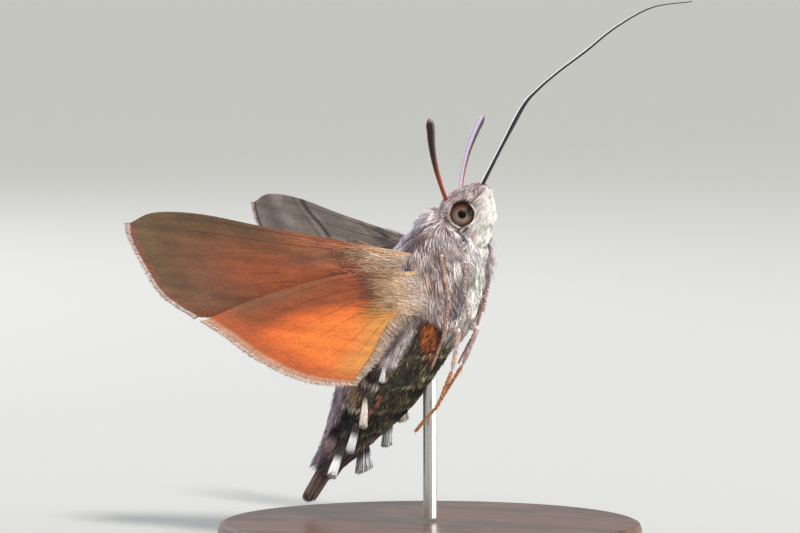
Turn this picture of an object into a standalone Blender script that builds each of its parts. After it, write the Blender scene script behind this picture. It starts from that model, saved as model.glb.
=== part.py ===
"""A hummingbird hawk moth, life size, hovering nose up on a small display stand.

The moth is modelled in millimetres in its own body frame: forward along the body, dorsal towards
the back, and right towards its right side. body_point() turns that into the world, where +X is
the way the moth faces, +Z is up and the origin is the centre of the stand's foot. The left side
is the mirror image of the right one.
"""

import math
import random

import bmesh
import bpy
from mathutils import Matrix, Vector

MM = 0.001
GAP = 0.3  # clearance that touching pieces keep

# Pose: the body's pitch above the horizon, and the height of its reference point, which lies in
# the middle of the thorax, above the floor.
PITCH = math.radians(55.7)
BODY_HEIGHT = 20.6

# Stand
BASE_RADIUS = 17.0
BASE_HEIGHT = 2.0
BASE_BEVEL = 0.5
BASE_SEGMENTS = 64
ROD_RADIUS = 0.55
ROD_FORWARD = 0.0  # the rod's place along X

# Outline of thorax and abdomen, coat included: forward, top, widest level, bottom, half width.
BODY_STATIONS = (
    (5.65, 2.90, 0.30, -2.10, 2.25),
    (4.70, 3.60, 0.10, -2.65, 2.95),
    (3.40, 4.05, -0.10, -3.35, 3.55),
    (1.80, 4.28, -0.20, -4.15, 3.85),
    (0.20, 4.20, -0.30, -4.55, 3.95),
    (-1.40, 3.95, -0.40, -4.65, 3.85),
    (-3.30, 3.55, -0.60, -4.30, 3.55),
    (-5.20, 3.25, -0.90, -4.05, 3.45),
    (-8.10, 2.75, -1.20, -3.80, 3.40),
    (-10.40, 2.10, -1.40, -3.35, 3.20),
    (-12.50, 1.45, -1.40, -2.80, 2.80),
    (-14.70, 0.85, -1.20, -2.25, 2.10),
    (-16.90, 0.50, -0.80, -1.70, 1.25),
)
BODY_SIDES = 20
THORAX_ENDS = (5.65, -3.30)
ABDOMEN_SEGMENTS = (-3.60, -5.20, -6.70, -8.20, -10.60, -13.20, -15.10, -16.80)
SEGMENT_STEP = 0.16  # how far each ring's rear edge stands over the next ring
STEP_LENGTH = 0.15

# Head without palps, as above
HEAD_STATIONS = (
    (5.95, 2.70, 0.50, -1.80, 1.85),
    (6.50, 2.88, 0.60, -1.60, 2.02),
    (7.10, 2.80, 0.65, -1.05, 1.98),
    (7.80, 2.45, 0.65, -0.50, 1.65),
    (8.60, 1.85, 0.65, -0.10, 1.15),
    (9.30, 1.45, 0.70, 0.15, 0.78),
    (9.80, 1.15, 0.75, 0.40, 0.45),
)
HEAD_SIDES = 18

EYE_CENTRE = (7.05, 0.62, 1.32)
EYE_RADIUS = 1.08
EYE_SEGMENTS = 16
EYE_RINGS = 10

# Labial palp: forward, dorsal, half height, half width along its middle line
PALP_STATIONS = (
    (6.85, -1.40, 0.14, 0.30),
    (7.45, -1.08, 0.38, 0.50),
    (8.20, -0.74, 0.46, 0.55),
    (8.95, -0.30, 0.40, 0.47),
    (9.35, 0.12, 0.28, 0.33),
    (9.65, 0.42, 0.10, 0.14),
)
PALP_RIGHT = 0.70
PALP_LEAN = 0.35  # how far each section leans back with its height
PALP_SIDES = 10

# Antenna: root on the crown, the vector to its tip, its bow, and shares of its length
ANTENNA_ROOT = (6.85, 2.15, 1.05)
ANTENNA_REACH = (5.98, 3.74, 3.85)
ANTENNA_BOW = 0.45
ANTENNA_HOOK = 0.55
ANTENNA_SIDES = 8
ANTENNA_RINGS = 14
HOOK_START = 0.88
CLUB_FULL = 0.86
TIP_START = 0.90
TIP_NARROWING = 0.75
FEELER_RADIUS = 0.25
CLUB_RADIUS = 0.34

# Proboscis: its middle line in the plane of symmetry, forward and dorsal
PROBOSCIS_LINE = (
    (9.20, 0.98),
    (13.40, 1.36),
    (16.90, 1.60),
    (18.70, 1.30),
    (20.90, 0.62),
    (23.60, -0.40),
    (26.60, -1.45),
    (29.60, -3.10),
    (31.90, -5.60),
)
PROBOSCIS_RADIUS = 0.26
PROBOSCIS_TIP_RADIUS = 0.13
PROBOSCIS_PARTS = ("proboscis_base", "proboscis_middle", "proboscis_tip")
PROBOSCIS_SIDES = 8
PROBOSCIS_RINGS = 8
PROBOSCIS_LENGTH = 25.0

# Wings, drawn in their own plane: x runs from the root to the tip, y from the leading edge to
# the trailing edge, and both start at the forewing's leading root.
WING_ROOT = (2.2, 2.6, 3.45)
WING_SPAN = Vector((-0.423, 0.800, 0.4275)).normalized()
WING_CHORD = Vector((-0.858, -0.5055, 0.096)).normalized()
WING_HALF_THICKNESS = 0.25
WING_EDGE_HALF_THICKNESS = 0.15
HINDWING_DROP = 1.05  # the hindwing lies this far below the forewing
LEFT_WING_RAISE = math.radians(8)  # the left wings are beaten this much higher
WING_CAMBER = 0.7
CAMBER_DIP = 0.6
CAMBER_TWIST = 0.05
WING_LENGTH = 21.7
VEIN_HEIGHT = 0.12
VEIN_TAPER = 0.5
VEIN_FOOT = 0.30
VEIN_FOOT_LIMIT = 0.035
FOREWING_EDGES = {
    "costa": ((-1.8, 0.2), (4.9, -0.35), (11.3, -0.85), (16.2, -1.30), (19.8, -1.05), (21.7, 0.0)),
    "margin": ((21.7, 0.0), (21.2, 1.55), (18.9, 4.8), (17.3, 6.0), (15.6, 6.8)),
    "inner": ((-1.2, 2.3), (2.3, 3.5), (6.1, 5.2), (10.8, 6.4), (15.6, 6.8)),
}
HINDWING_EDGES = {
    "costa": ((-1.4, 1.5), (2.0, 1.9), (5.4, 2.6), (11.0, 4.9), (15.0, 7.1)),
    "margin": ((15.0, 7.1), (13.0, 8.1), (10.3, 9.6), (6.6, 10.8), (2.8, 10.9)),
    "inner": ((-1.2, 3.7), (0.5, 5.9), (1.5, 8.5), (2.8, 10.9)),
}
# Each vein: its place across the wing, 0 at the leading edge and 1 at the inner edge, and where
# along the wing it starts to stand out.
FOREWING_VEINS = (
    (0.07, 0.0), (0.22, 0.0), (0.36, 0.42), (0.49, 0.46), (0.62, 0.44), (0.74, 0.0), (0.90, 0.0)
)
HINDWING_VEINS = ((0.08, 0.0), (0.26, 0.0), (0.44, 0.42), (0.60, 0.42), (0.76, 0.0), (0.91, 0.0))
WING_ROWS = 8
WING_ROW_CROWDING = 0.9  # below 1, the rows stand closer near the tip

# Legs of the right side, then of the left side: root and knee of the thigh, ankle, and the foot's
# course to its claw, each as forward, dorsal, outward
RIGHT_LEGS = {
    "foreleg": (
        (3.5, -1.9, 1.7),
        (5.0, -0.4, 3.05),
        (4.45, -2.25, 2.6),
        (2.4, -3.5, 2.55),
        (0.75, -4.55, 1.85),
    ),
    "midleg": (
        (2.6, -1.9, 2.3),
        (4.1, -0.5, 3.75),
        (1.4, -3.0, 3.4),
        (-1.4, -4.1, 2.95),
        (-4.2, -4.5, 2.5),
    ),
    "hindleg": (
        (-1.2, -3.0, 1.6),
        (-0.6, -4.55, 1.75),
        (-3.6, -5.75, 1.6),
        (-6.5, -6.3, 1.6),
        (-9.6, -5.95, 1.6),
    ),
}
LEFT_LEGS = {
    "foreleg": (
        (3.5, -1.9, 1.7),
        (5.0, -0.4, 3.05),
        (4.45, -2.1, 2.6),
        (2.4, -3.1, 2.55),
        (0.75, -4.15, 1.85),
    ),
    "midleg": RIGHT_LEGS["midleg"],
    "hindleg": (
        (-1.2, -3.0, 1.6),
        (-0.6, -4.55, 1.75),
        (-3.9, -5.0, 2.1),
        (-7.8, -4.9, 2.4),
        (-11.1, -4.4, 2.7),
    ),
}
# Shares along the thigh and the shin, with the share of the radius there
THIGH_SHAPE = ((0.0, 0.9), (0.5, 1.0), (1.0, 0.7))
SHIN_SHAPE = ((-0.07, 0.0), (0.04, 0.0), (0.45, 0.5), (0.85, 0.9))
KNEE_NARROWING = 0.5
FOOT_START = 0.03
THIGH_RADIUS = 0.36
ANKLE_RADIUS = 0.27
FOOT_RADIUS = 0.25
CLAW_RADIUS = 0.15
LEG_SIDES = 6
FOOT_BEADS = 5
FOOT_BEAD_SWELL = 1.15

# Side tufts of flat scales: forward, dorsal, right of each tuft's tip, its length, its blades
SIDE_TUFTS = (
    (-7.5, -2.2, 3.95, 2.3, 3),
    (-11.0, -2.75, 3.75, 1.9, 4),
    (-13.9, -2.85, 3.45, 2.5, 4),
)
TAIL_SIDE_TUFT = (-16.8, -2.5, 3.1, 2.2, 4)
TUFT_BLADE_WIDTH = 0.95
TUFT_FAN = (-0.3, 1.5, 0.25)  # how far the tips spread
TUFT_ROOT = (0.2, 0.9, -1.25)  # from the tip to the root, besides the tuft's length
TUFT_ROOT_FAN = 0.8
TUFT_FLAT = (0.15, 1.0, 0.45)  # the blades are broad this way
TAIL_BRUSH_ROOT = -15.6
TAIL_BRUSH_TIP = -20.6
TAIL_BRUSH_BLADES = 7
TAIL_BRUSH_HALF_WIDTH = 1.3
TAIL_BRUSH_ROOT_WIDTH = 0.7
TAIL_BRUSH_ROUNDING = 0.7  # how much shorter its outer blades are
# Level of the root, level of the tip and shortening, for each of the brush's two layers
TAIL_BRUSH_LAYERS = ((-0.5, -0.7, 0.0), (-0.8, -1.25, 1.3))
BLADE_THICKNESS = 0.5
BLADE_ARCH = 0.5
# Along a blade: how far from its root, how wide, how thick
BLADE_SHAPE = ((0.0, 0.55, 0.8), (0.35, 0.9, 1.0), (0.7, 1.0, 0.8), (0.92, 0.6, 0.45), (1.0, 0.2, 0.2))
HEM_LOCKS = 9
HEM_LOCK_LENGTH = 2.3
HEM_LOCK_WIDTH = 1.1
HEM_ANGLES = (24, 152)  # the first and the last lock of a side, in degrees from the back
HEM_ROOT = (1.0, 0.35)  # how far before the hem and how deep each lock starts
HEM_TIP = (0.5, 0.45)  # how far before its length's end and how high above the abdomen it ends
BODY_RINGS = 12
CUTTER_RINGS = 14
SHARP_ANGLE = 35

FORWARD = Vector((math.cos(PITCH), 0, math.sin(PITCH)))
DORSAL = Vector((-math.sin(PITCH), 0, math.cos(PITCH)))
RIGHT = Vector((0, -1, 0))
BODY_CENTRE = Vector((0, 0, BODY_HEIGHT))


def body_direction(vector):
    """A direction of the body frame, in the world."""
    return FORWARD * vector[0] + DORSAL * vector[1] + RIGHT * vector[2]


def body_point(point):
    """A point of the body frame, in the world, both in millimetres."""
    return BODY_CENTRE + body_direction(point)


def smooth_curve(points, position):
    """A point at position, from 0 to 1, of a smooth curve through the given points."""
    spans = len(points) - 1
    place = min(max(position, 0.0), 1.0) * spans
    index = min(int(place), spans - 1)
    t = place - index
    p1 = Vector(points[index])
    p2 = Vector(points[index + 1])
    p0 = Vector(points[index - 1]) if index > 0 else 2 * p1 - p2
    p3 = Vector(points[index + 2]) if index + 2 <= spans else 2 * p2 - p1
    return 0.5 * (
        2 * p1
        + (p2 - p0) * t
        + (2 * p0 - 5 * p1 + 4 * p2 - p3) * t * t
        + (3 * p1 - p0 - 3 * p2 + p3) * t * t * t
    )


def section_at(stations, forward):
    """Top, widest level, bottom and half width at a place along the body."""
    ends = sorted((stations[0][0], stations[-1][0]))
    forward = min(max(forward, ends[0]), ends[1])
    for first, second in zip(stations, stations[1:]):
        if min(first[0], second[0]) <= forward <= max(first[0], second[0]):
            break
    share = (forward - first[0]) / (second[0] - first[0])
    return [a + (b - a) * share for a, b in zip(first[1:], second[1:])]


def ring(stations, forward, sides, grow=0.0):
    """A cross section of the body as points, its upper and lower halves each half an ellipse."""
    top, level, bottom, half = section_at(stations, forward)
    points = []
    for index in range(sides):
        angle = 2 * math.pi * index / sides
        height = top - level + grow if math.cos(angle) > 0 else level - bottom + grow
        dorsal = level + height * math.cos(angle)
        points.append(body_point((forward, dorsal, (half + grow) * math.sin(angle))))
    return points


def mesh_object(name, bm, colour=None, roughness=0.8):
    """Makes an object of a bmesh in millimetres, with its faces turned outwards."""
    bmesh.ops.recalc_face_normals(bm, faces=bm.faces)
    bmesh.ops.scale(bm, vec=(MM, MM, MM), verts=bm.verts)
    mesh = bpy.data.meshes.new(name)
    bm.to_mesh(mesh)
    bm.free()
    obj = bpy.data.objects.new(name, mesh)
    bpy.context.scene.collection.objects.link(obj)
    if colour:
        paint(obj, colour, roughness)
    return obj


def paint(obj, colour, roughness=0.8, metallic=0.0):
    """Gives an object its own material."""
    material = bpy.data.materials.new(obj.name)
    material.use_nodes = True
    shader = material.node_tree.nodes["Principled BSDF"]
    shader.inputs["Base Color"].default_value = (*colour, 1.0)
    shader.inputs["Roughness"].default_value = roughness
    shader.inputs["Metallic"].default_value = metallic
    obj.data.materials.clear()
    obj.data.materials.append(material)
    obj.data.shade_smooth()
    obj.data.set_sharp_from_angle(angle=math.radians(SHARP_ANGLE))


def add_loft(bm, rings):
    """Adds a closed skin through rings of equal counts, each end closed to its middle."""
    rows = [[bm.verts.new(point) for point in points] for points in rings]
    sides = len(rows[0])
    for row, following in zip(rows, rows[1:]):
        for index in range(sides):
            after = (index + 1) % sides
            bm.faces.new((row[index], following[index], following[after]))
            bm.faces.new((row[index], following[after], row[after]))
    for row, points in ((rows[0], rings[0]), (rows[-1], rings[-1])):
        middle = bm.verts.new(sum(points, Vector()) / sides)
        for index in range(sides):
            bm.faces.new((middle, row[index], row[(index + 1) % sides]))


def loft_object(name, rings, colour=None, roughness=0.8):
    """A closed solid through rings."""
    bm = bmesh.new()
    add_loft(bm, rings)
    return mesh_object(name, bm, colour, roughness)


def tube_rings(line, radii, sides, flatten=1.0, flat_along=None):
    """Rings of round or flattened section along a line of world points."""
    rings = []
    across = None
    for index, point in enumerate(line):
        before = line[max(index - 1, 0)]
        after = line[min(index + 1, len(line) - 1)]
        along = (after - before).normalized()
        guide = across or flat_along or Vector((0.1, 1.0, 0.05))
        across = (guide - along * guide.dot(along)).normalized()
        other = along.cross(across)
        rings.append(
            [
                point
                + across * radii[index] * math.cos(2 * math.pi * side / sides)
                + other * radii[index] * flatten * math.sin(2 * math.pi * side / sides)
                for side in range(sides)
            ]
        )
    return rings


def blade_object(root, tip, flat, width, bend=0.0):
    """A flat tapered scale or lock from root to tip, widest past its middle, broad across flat."""
    root, tip, flat = Vector(root), Vector(tip), Vector(flat)
    along = tip - root
    across = (flat - along * flat.dot(along) / along.length_squared).normalized()
    normal = along.cross(across).normalized()
    rings = []
    for share, wide, thick in BLADE_SHAPE:
        middle = root + along * share + normal * bend * share * share
        half = across * width / 2 * wide
        high = normal * BLADE_THICKNESS / 2 * thick
        arch = half * BLADE_ARCH
        upper = (half, arch + high, high - arch)
        rings.append([body_point(middle + corner * side) for side in (1, -1) for corner in upper])
    return loft_object("blade", rings)


def evaluated_mesh(obj):
    """The object's mesh with its modifiers applied."""
    bpy.context.view_layer.update()
    graph = bpy.context.evaluated_depsgraph_get()
    return bpy.data.meshes.new_from_object(obj.evaluated_get(graph))


def keep_largest(mesh):
    """Deletes every closed surface of a mesh but the largest one."""
    bm = bmesh.new()
    bm.from_mesh(mesh)
    bmesh.ops.triangulate(bm, faces=bm.faces)
    bmesh.ops.dissolve_degenerate(bm, dist=MM * 1e-4, edges=bm.edges)
    islands = []
    unseen = set(bm.faces)
    while unseen:
        stack = [unseen.pop()]
        island = list(stack)
        while stack:
            for edge in stack.pop().edges:
                for face in edge.link_faces:
                    if face in unseen:
                        unseen.remove(face)
                        stack.append(face)
                        island.append(face)
        islands.append(island)
    largest = max(islands, key=lambda island: sum(face.calc_area() for face in island))
    scraps = [face for island in islands if island is not largest for face in island]
    bmesh.ops.delete(bm, geom=scraps, context="FACES")
    bm.to_mesh(mesh)
    bm.free()


def remove(obj):
    """Deletes an object with its mesh."""
    mesh = obj.data
    bpy.data.objects.remove(obj)
    bpy.data.meshes.remove(mesh)


def combine(obj, others, operation):
    """Joins other objects to obj or cuts them from it, and removes them."""
    group = bpy.data.collections.new("pieces")
    bpy.context.scene.collection.children.link(group)
    for other in others:
        bpy.context.scene.collection.objects.unlink(other)
        group.objects.link(other)
    modifier = obj.modifiers.new("combine", "BOOLEAN")
    modifier.operation = operation
    modifier.operand_type = "COLLECTION"
    modifier.collection = group
    modifier.solver = "EXACT"
    mesh = evaluated_mesh(obj)
    obj.modifiers.clear()
    keep_largest(mesh)
    old = obj.data
    obj.data = mesh
    bpy.data.meshes.remove(old)
    for other in others:
        remove(other)
    bpy.data.collections.remove(group)


def grown_body(stations, sides, ends, grow=GAP, reach=GAP):
    """The body's own shape as a cutter, larger by grow all round and by reach at both ends."""
    first, last = ends
    step = (last - first) / CUTTER_RINGS
    places = [first + step * index for index in range(CUTTER_RINGS + 1)]
    rings = [ring(stations, place, sides, grow) for place in places]
    push = FORWARD * reach * (1 if first > last else -1)
    rings[0] = [point + push for point in rings[0]]
    rings[-1] = [point - push for point in rings[-1]]
    return loft_object("cutter", rings)


def grown_thorax():
    """The thorax as a cutter."""
    return grown_body(BODY_STATIONS, BODY_SIDES, THORAX_ENDS)


def grown_abdomen():
    """The abdomen as a cutter, with room for its raised ring edges."""
    ends = (ABDOMEN_SEGMENTS[0] + GAP, ABDOMEN_SEGMENTS[-1])
    return grown_body(BODY_STATIONS, BODY_SIDES, ends, GAP + SEGMENT_STEP, 0.0)


def grown_head():
    """The head as a cutter."""
    return grown_body(HEAD_STATIONS, HEAD_SIDES, (HEAD_STATIONS[0][0], HEAD_STATIONS[-1][0]))


def mirrored(obj, name):
    """A copy of obj on the other side of the plane of symmetry."""
    bm = bmesh.new()
    bm.from_mesh(obj.data)
    bmesh.ops.scale(bm, vec=(1, -1, 1), verts=bm.verts)
    bmesh.ops.reverse_faces(bm, faces=bm.faces)
    mesh = bpy.data.meshes.new(name)
    bm.to_mesh(mesh)
    bm.free()
    twin = bpy.data.objects.new(name, mesh)
    bpy.context.scene.collection.objects.link(twin)
    return twin


def body_surface(forward, angle, lift=0.0):
    """A point on thorax or abdomen, in the body frame, at an angle from the back to the right."""
    top, level, bottom, half = section_at(BODY_STATIONS, forward)
    height = (top - level if math.cos(angle) > 0 else level - bottom) + lift
    return Vector((forward, level + height * math.cos(angle), (half + lift) * math.sin(angle)))


def make_thorax():
    """The thorax, with the long locks of its rear hem lying over the abdomen."""
    front, rear = THORAX_ENDS
    places = [front + (rear - front) * index / BODY_RINGS for index in range(BODY_RINGS + 1)]
    thorax = loft_object("thorax", [ring(BODY_STATIONS, p, BODY_SIDES) for p in places])
    draw = random.Random(5)
    locks = []
    for side in (-1, 1):
        for index in range(HEM_LOCKS):
            turn = HEM_ANGLES[0] + (HEM_ANGLES[1] - HEM_ANGLES[0]) * index / (HEM_LOCKS - 1)
            angle = side * math.radians(turn)
            length = HEM_LOCK_LENGTH * draw.uniform(0.8, 1.15)
            root = body_surface(rear + HEM_ROOT[0], angle, -HEM_ROOT[1])
            lift = GAP + SEGMENT_STEP + HEM_TIP[1]
            tip = body_surface(rear + HEM_TIP[0] - length, angle, lift)
            flat = body_surface(rear, angle + 0.1) - body_surface(rear, angle - 0.1)
            locks.append(blade_object(root, tip, flat, HEM_LOCK_WIDTH))
    combine(thorax, locks, "UNION")
    combine(thorax, [grown_abdomen()], "DIFFERENCE")
    combine(thorax, leg_cutters(), "DIFFERENCE")
    paint(thorax, (0.42, 0.36, 0.34), 0.9)
    return thorax


def abdomen_rings(first, last):
    """Rings of the abdomen's segments from number first up to last, each flaring to its rear edge."""
    rings = []
    for front, rear in zip(ABDOMEN_SEGMENTS[first:last], ABDOMEN_SEGMENTS[first + 1 : last + 1]):
        middle = (front + rear) / 2
        rings.append(ring(BODY_STATIONS, front, BODY_SIDES, 0.0))
        rings.append(ring(BODY_STATIONS, middle, BODY_SIDES, SEGMENT_STEP * 0.6))
        rings.append(ring(BODY_STATIONS, rear + STEP_LENGTH, BODY_SIDES, SEGMENT_STEP))
    rings.append(ring(BODY_STATIONS, ABDOMEN_SEGMENTS[last], BODY_SIDES, 0.0))
    return rings


def tuft_blades(tip, length, count, draw):
    """The flat scales of one side tuft on both sides, fanned across and rooted in the abdomen."""
    blades = []
    for side in (-1, 1):
        mirror = Vector((1, 1, side))
        for index in range(count):
            fan = index / (count - 1) - 0.5
            reach = length * draw.uniform(0.9, 1.08)
            spread = Vector((TUFT_FAN[0] * abs(fan), TUFT_FAN[1] * fan, TUFT_FAN[2] * fan))
            back = Vector(TUFT_ROOT) + Vector((reach, TUFT_ROOT_FAN * fan, 0))
            start = (Vector(tip) + back) * mirror
            end = (Vector(tip) + spread) * mirror
            blades.append(blade_object(start, end, Vector(TUFT_FLAT) * mirror, TUFT_BLADE_WIDTH))
    return blades


def make_abdomen():
    """The front of the abdomen, its rear with the side tufts, and the tail with its brush."""
    draw = random.Random(11)
    front = loft_object("abdomen_front", abdomen_rings(0, 3))
    combine(front, tuft_blades(SIDE_TUFTS[0][:3], *SIDE_TUFTS[0][3:], draw), "UNION")
    paint(front, (0.20, 0.12, 0.07), 0.85)

    rear_rings = abdomen_rings(3, 5)
    rear_rings[0] = ring(BODY_STATIONS, ABDOMEN_SEGMENTS[3] - GAP, BODY_SIDES, 0.0)
    rear = loft_object("abdomen_rear", rear_rings)
    blades = []
    for tuft in SIDE_TUFTS[1:]:
        blades += tuft_blades(tuft[:3], *tuft[3:], draw)
    combine(rear, blades, "UNION")
    paint(rear, (0.08, 0.06, 0.05), 0.85)

    tail_rings = abdomen_rings(5, 7)
    tail_rings[0] = ring(BODY_STATIONS, ABDOMEN_SEGMENTS[5] - GAP, BODY_SIDES, 0.0)
    tail = loft_object("tail", tail_rings)
    blades = tuft_blades(TAIL_SIDE_TUFT[:3], *TAIL_SIDE_TUFT[3:], draw)
    for layer, (root_level, tip_level, shorter) in enumerate(TAIL_BRUSH_LAYERS):
        count = TAIL_BRUSH_BLADES - 2 * layer
        for index in range(count):
            fan = 2 * index / (count - 1) - 1
            start = (TAIL_BRUSH_ROOT, root_level, TAIL_BRUSH_ROOT_WIDTH * fan)
            reach = TAIL_BRUSH_TIP + TAIL_BRUSH_ROUNDING * fan * fan + shorter
            end = (reach, tip_level, TAIL_BRUSH_HALF_WIDTH * fan)
            blades.append(blade_object(start, end, (0, 0.1, 1), TUFT_BLADE_WIDTH))
    combine(tail, blades, "UNION")
    paint(tail, (0.07, 0.05, 0.045), 0.85)
    return front, rear, tail


def make_eye():
    """The right eye, a ball that sits in a socket of the head."""
    bm = bmesh.new()
    bmesh.ops.create_uvsphere(bm, u_segments=EYE_SEGMENTS, v_segments=EYE_RINGS, radius=EYE_RADIUS)
    bmesh.ops.translate(bm, vec=body_point(EYE_CENTRE), verts=bm.verts)
    eye = mesh_object("eye_right", bm)
    return eye


def eye_socket(side):
    """The cutter that makes room for an eye."""
    bm = bmesh.new()
    bmesh.ops.create_uvsphere(
        bm, u_segments=EYE_SEGMENTS, v_segments=EYE_RINGS, radius=EYE_RADIUS + GAP
    )
    centre = Vector(EYE_CENTRE)
    centre.z *= side
    bmesh.ops.translate(bm, vec=body_point(centre), verts=bm.verts)
    return mesh_object("cutter", bm)


def make_head():
    """The head without eyes and palps."""
    first, last = HEAD_STATIONS[0][0], HEAD_STATIONS[-1][0]
    places = [first + (last - first) * index / BODY_RINGS for index in range(BODY_RINGS + 1)]
    head = loft_object("head", [ring(HEAD_STATIONS, p, HEAD_SIDES) for p in places])
    combine(head, [eye_socket(1)], "DIFFERENCE")
    combine(head, [eye_socket(-1)], "DIFFERENCE")
    paint(head, (0.62, 0.54, 0.52), 0.9)
    return head


def make_palp():
    """The right labial palp, a flat curved club under the face."""
    rings = []
    for forward, dorsal, high, wide in PALP_STATIONS:
        points = []
        for index in range(PALP_SIDES):
            angle = 2 * math.pi * index / PALP_SIDES
            lean = PALP_LEAN * high * math.cos(angle)
            place = (
                forward - lean,
                dorsal + high * math.cos(angle),
                PALP_RIGHT + wide * math.sin(angle),
            )
            points.append(body_point(place))
        rings.append(points)
    palp = loft_object("palp_right", rings)
    combine(palp, [grown_head()], "DIFFERENCE")
    return palp


def make_antenna():
    """The right antenna: a thin shaft that thickens to a club with a hooked tip."""
    root, reach = Vector(ANTENNA_ROOT), Vector(ANTENNA_REACH)
    line, radii = [], []
    for index in range(ANTENNA_RINGS + 1):
        share = index / ANTENNA_RINGS
        bow = ANTENNA_BOW * math.sin(math.pi * share)
        hook = ANTENNA_HOOK * max(share - HOOK_START, 0) / (1 - HOOK_START)
        line.append(body_point(root + reach * share + Vector((-0.3 * bow, bow, 0.4 * hook))))
        club = math.sin(min(share / CLUB_FULL, 1) * math.pi / 2) ** 3
        tip = 1 - TIP_NARROWING * max(share - TIP_START, 0) / (1 - TIP_START)
        radii.append((FEELER_RADIUS + (CLUB_RADIUS - FEELER_RADIUS) * club) * tip)
    antenna = loft_object("antenna_right", tube_rings(line, radii, ANTENNA_SIDES))
    combine(antenna, [grown_head()], "DIFFERENCE")
    return antenna


def make_proboscis():
    """The proboscis in three lengths, end to end."""
    made = []
    count = len(PROBOSCIS_PARTS)
    for number, name in enumerate(PROBOSCIS_PARTS):
        start = number / count + (GAP / PROBOSCIS_LENGTH if number else 0)
        end = (number + 1) / count
        line, radii = [], []
        for index in range(PROBOSCIS_RINGS + 1):
            share = start + (end - start) * index / PROBOSCIS_RINGS
            forward, dorsal = smooth_curve(PROBOSCIS_LINE, share)
            line.append(body_point((forward, dorsal, 0)))
            radii.append(PROBOSCIS_RADIUS + (PROBOSCIS_TIP_RADIUS - PROBOSCIS_RADIUS) * share)
        piece = loft_object(name, tube_rings(line, radii, PROBOSCIS_SIDES))
        if number == 0:
            combine(piece, [grown_head()], "DIFFERENCE")
        paint(piece, (0.02, 0.016, 0.015), 0.3)
        made.append(piece)
    return made


def wing_lines(veins):
    """The lines across a wing: both edges, and the foot, crest and foot of each vein."""
    lines = [(0.0, None)]
    for place, start in veins:
        lines += [(place, "foot"), (place, start), (place, "far foot")]
    lines.append((1.0, None))
    return lines


def wing_point(edges, across, along):
    """A point of a wing's plane, blended from its four edges."""
    costa = smooth_curve(edges["costa"], along)
    inner = smooth_curve(edges["inner"], along)
    margin = smooth_curve(edges["margin"], across)
    root_a, root_b = Vector(edges["costa"][0]), Vector(edges["inner"][0])
    tip_a, tip_b = Vector(edges["margin"][0]), Vector(edges["margin"][-1])
    root = root_a.lerp(root_b, across)
    ruled = costa.lerp(inner, across) + root.lerp(margin, along)
    corners = root_a.lerp(root_b, across).lerp(tip_a.lerp(tip_b, across), along)
    return ruled - corners


def wing_camber(point):
    """How far the wings bend out of their plane, away from the moth's back."""
    share = point.x / WING_LENGTH
    bend = share * share - CAMBER_DIP * share
    return WING_CAMBER * bend * (1 + CAMBER_TWIST * point.y)


def make_wing(name, edges, veins, drop, raised=0.0):
    """A wing as one sheet with its main veins raised on both faces, beaten up by an angle."""
    beat = Matrix.Rotation(-raised, 3, "X")
    span, chord = beat @ WING_SPAN, beat @ WING_CHORD
    normal = span.cross(chord)
    lines = wing_lines(veins)
    places = [line[0] for line in lines]
    upper, lower = [], []
    for row in range(WING_ROWS + 1):
        along = (row / WING_ROWS) ** WING_ROW_CROWDING
        width = (wing_point(edges, 1, along) - wing_point(edges, 0, along)).length
        foot = min(VEIN_FOOT / width, VEIN_FOOT_LIMIT)
        top_row, bottom_row = [], []
        for index, (place, kind) in enumerate(lines):
            shift = {"foot": -foot, "far foot": foot}.get(kind, 0.0)
            flat = wing_point(edges, place + shift, along)
            edge = index in (0, len(places) - 1) or row == WING_ROWS
            half = WING_EDGE_HALF_THICKNESS if edge else WING_HALF_THICKNESS
            if isinstance(kind, float) and along >= kind - 0.01:
                half += VEIN_HEIGHT * (1 - VEIN_TAPER * along)
            height = drop + wing_camber(flat)
            middle = Vector(WING_ROOT) + span * flat.x + chord * flat.y + normal * height
            top_row.append(body_point(middle - normal * half))
            bottom_row.append(body_point(middle + normal * half))
        upper.append(top_row)
        lower.append(bottom_row)
    return sheet_object(name, upper, lower)


def sheet_object(name, upper, lower):
    """A thin closed sheet from two grids of points, both faces split along the same diagonals."""
    bm = bmesh.new()
    tops = [[bm.verts.new(point) for point in row] for row in upper]
    bottoms = [[bm.verts.new(point) for point in row] for row in lower]
    rows, columns = len(tops), len(tops[0])
    for row in range(rows - 1):
        for column in range(columns - 1):
            corners = ((row, column), (row + 1, column), (row + 1, column + 1), (row, column + 1))
            for face in (tops, bottoms):
                a, b, c, d = (face[i][j] for i, j in corners)
                bm.faces.new((a, b, c))
                bm.faces.new((a, c, d))
    rim = [(0, j) for j in range(columns)]
    rim += [(i, columns - 1) for i in range(1, rows)]
    rim += [(rows - 1, j) for j in range(columns - 2, -1, -1)]
    rim += [(i, 0) for i in range(rows - 2, 0, -1)]
    for here, after in zip(rim, rim[1:] + rim[:1]):
        a, b = tops[here[0]][here[1]], tops[after[0]][after[1]]
        c, d = bottoms[after[0]][after[1]], bottoms[here[0]][here[1]]
        bm.faces.new((a, b, c))
        bm.faces.new((a, c, d))
    return mesh_object(name, bm)


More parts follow.
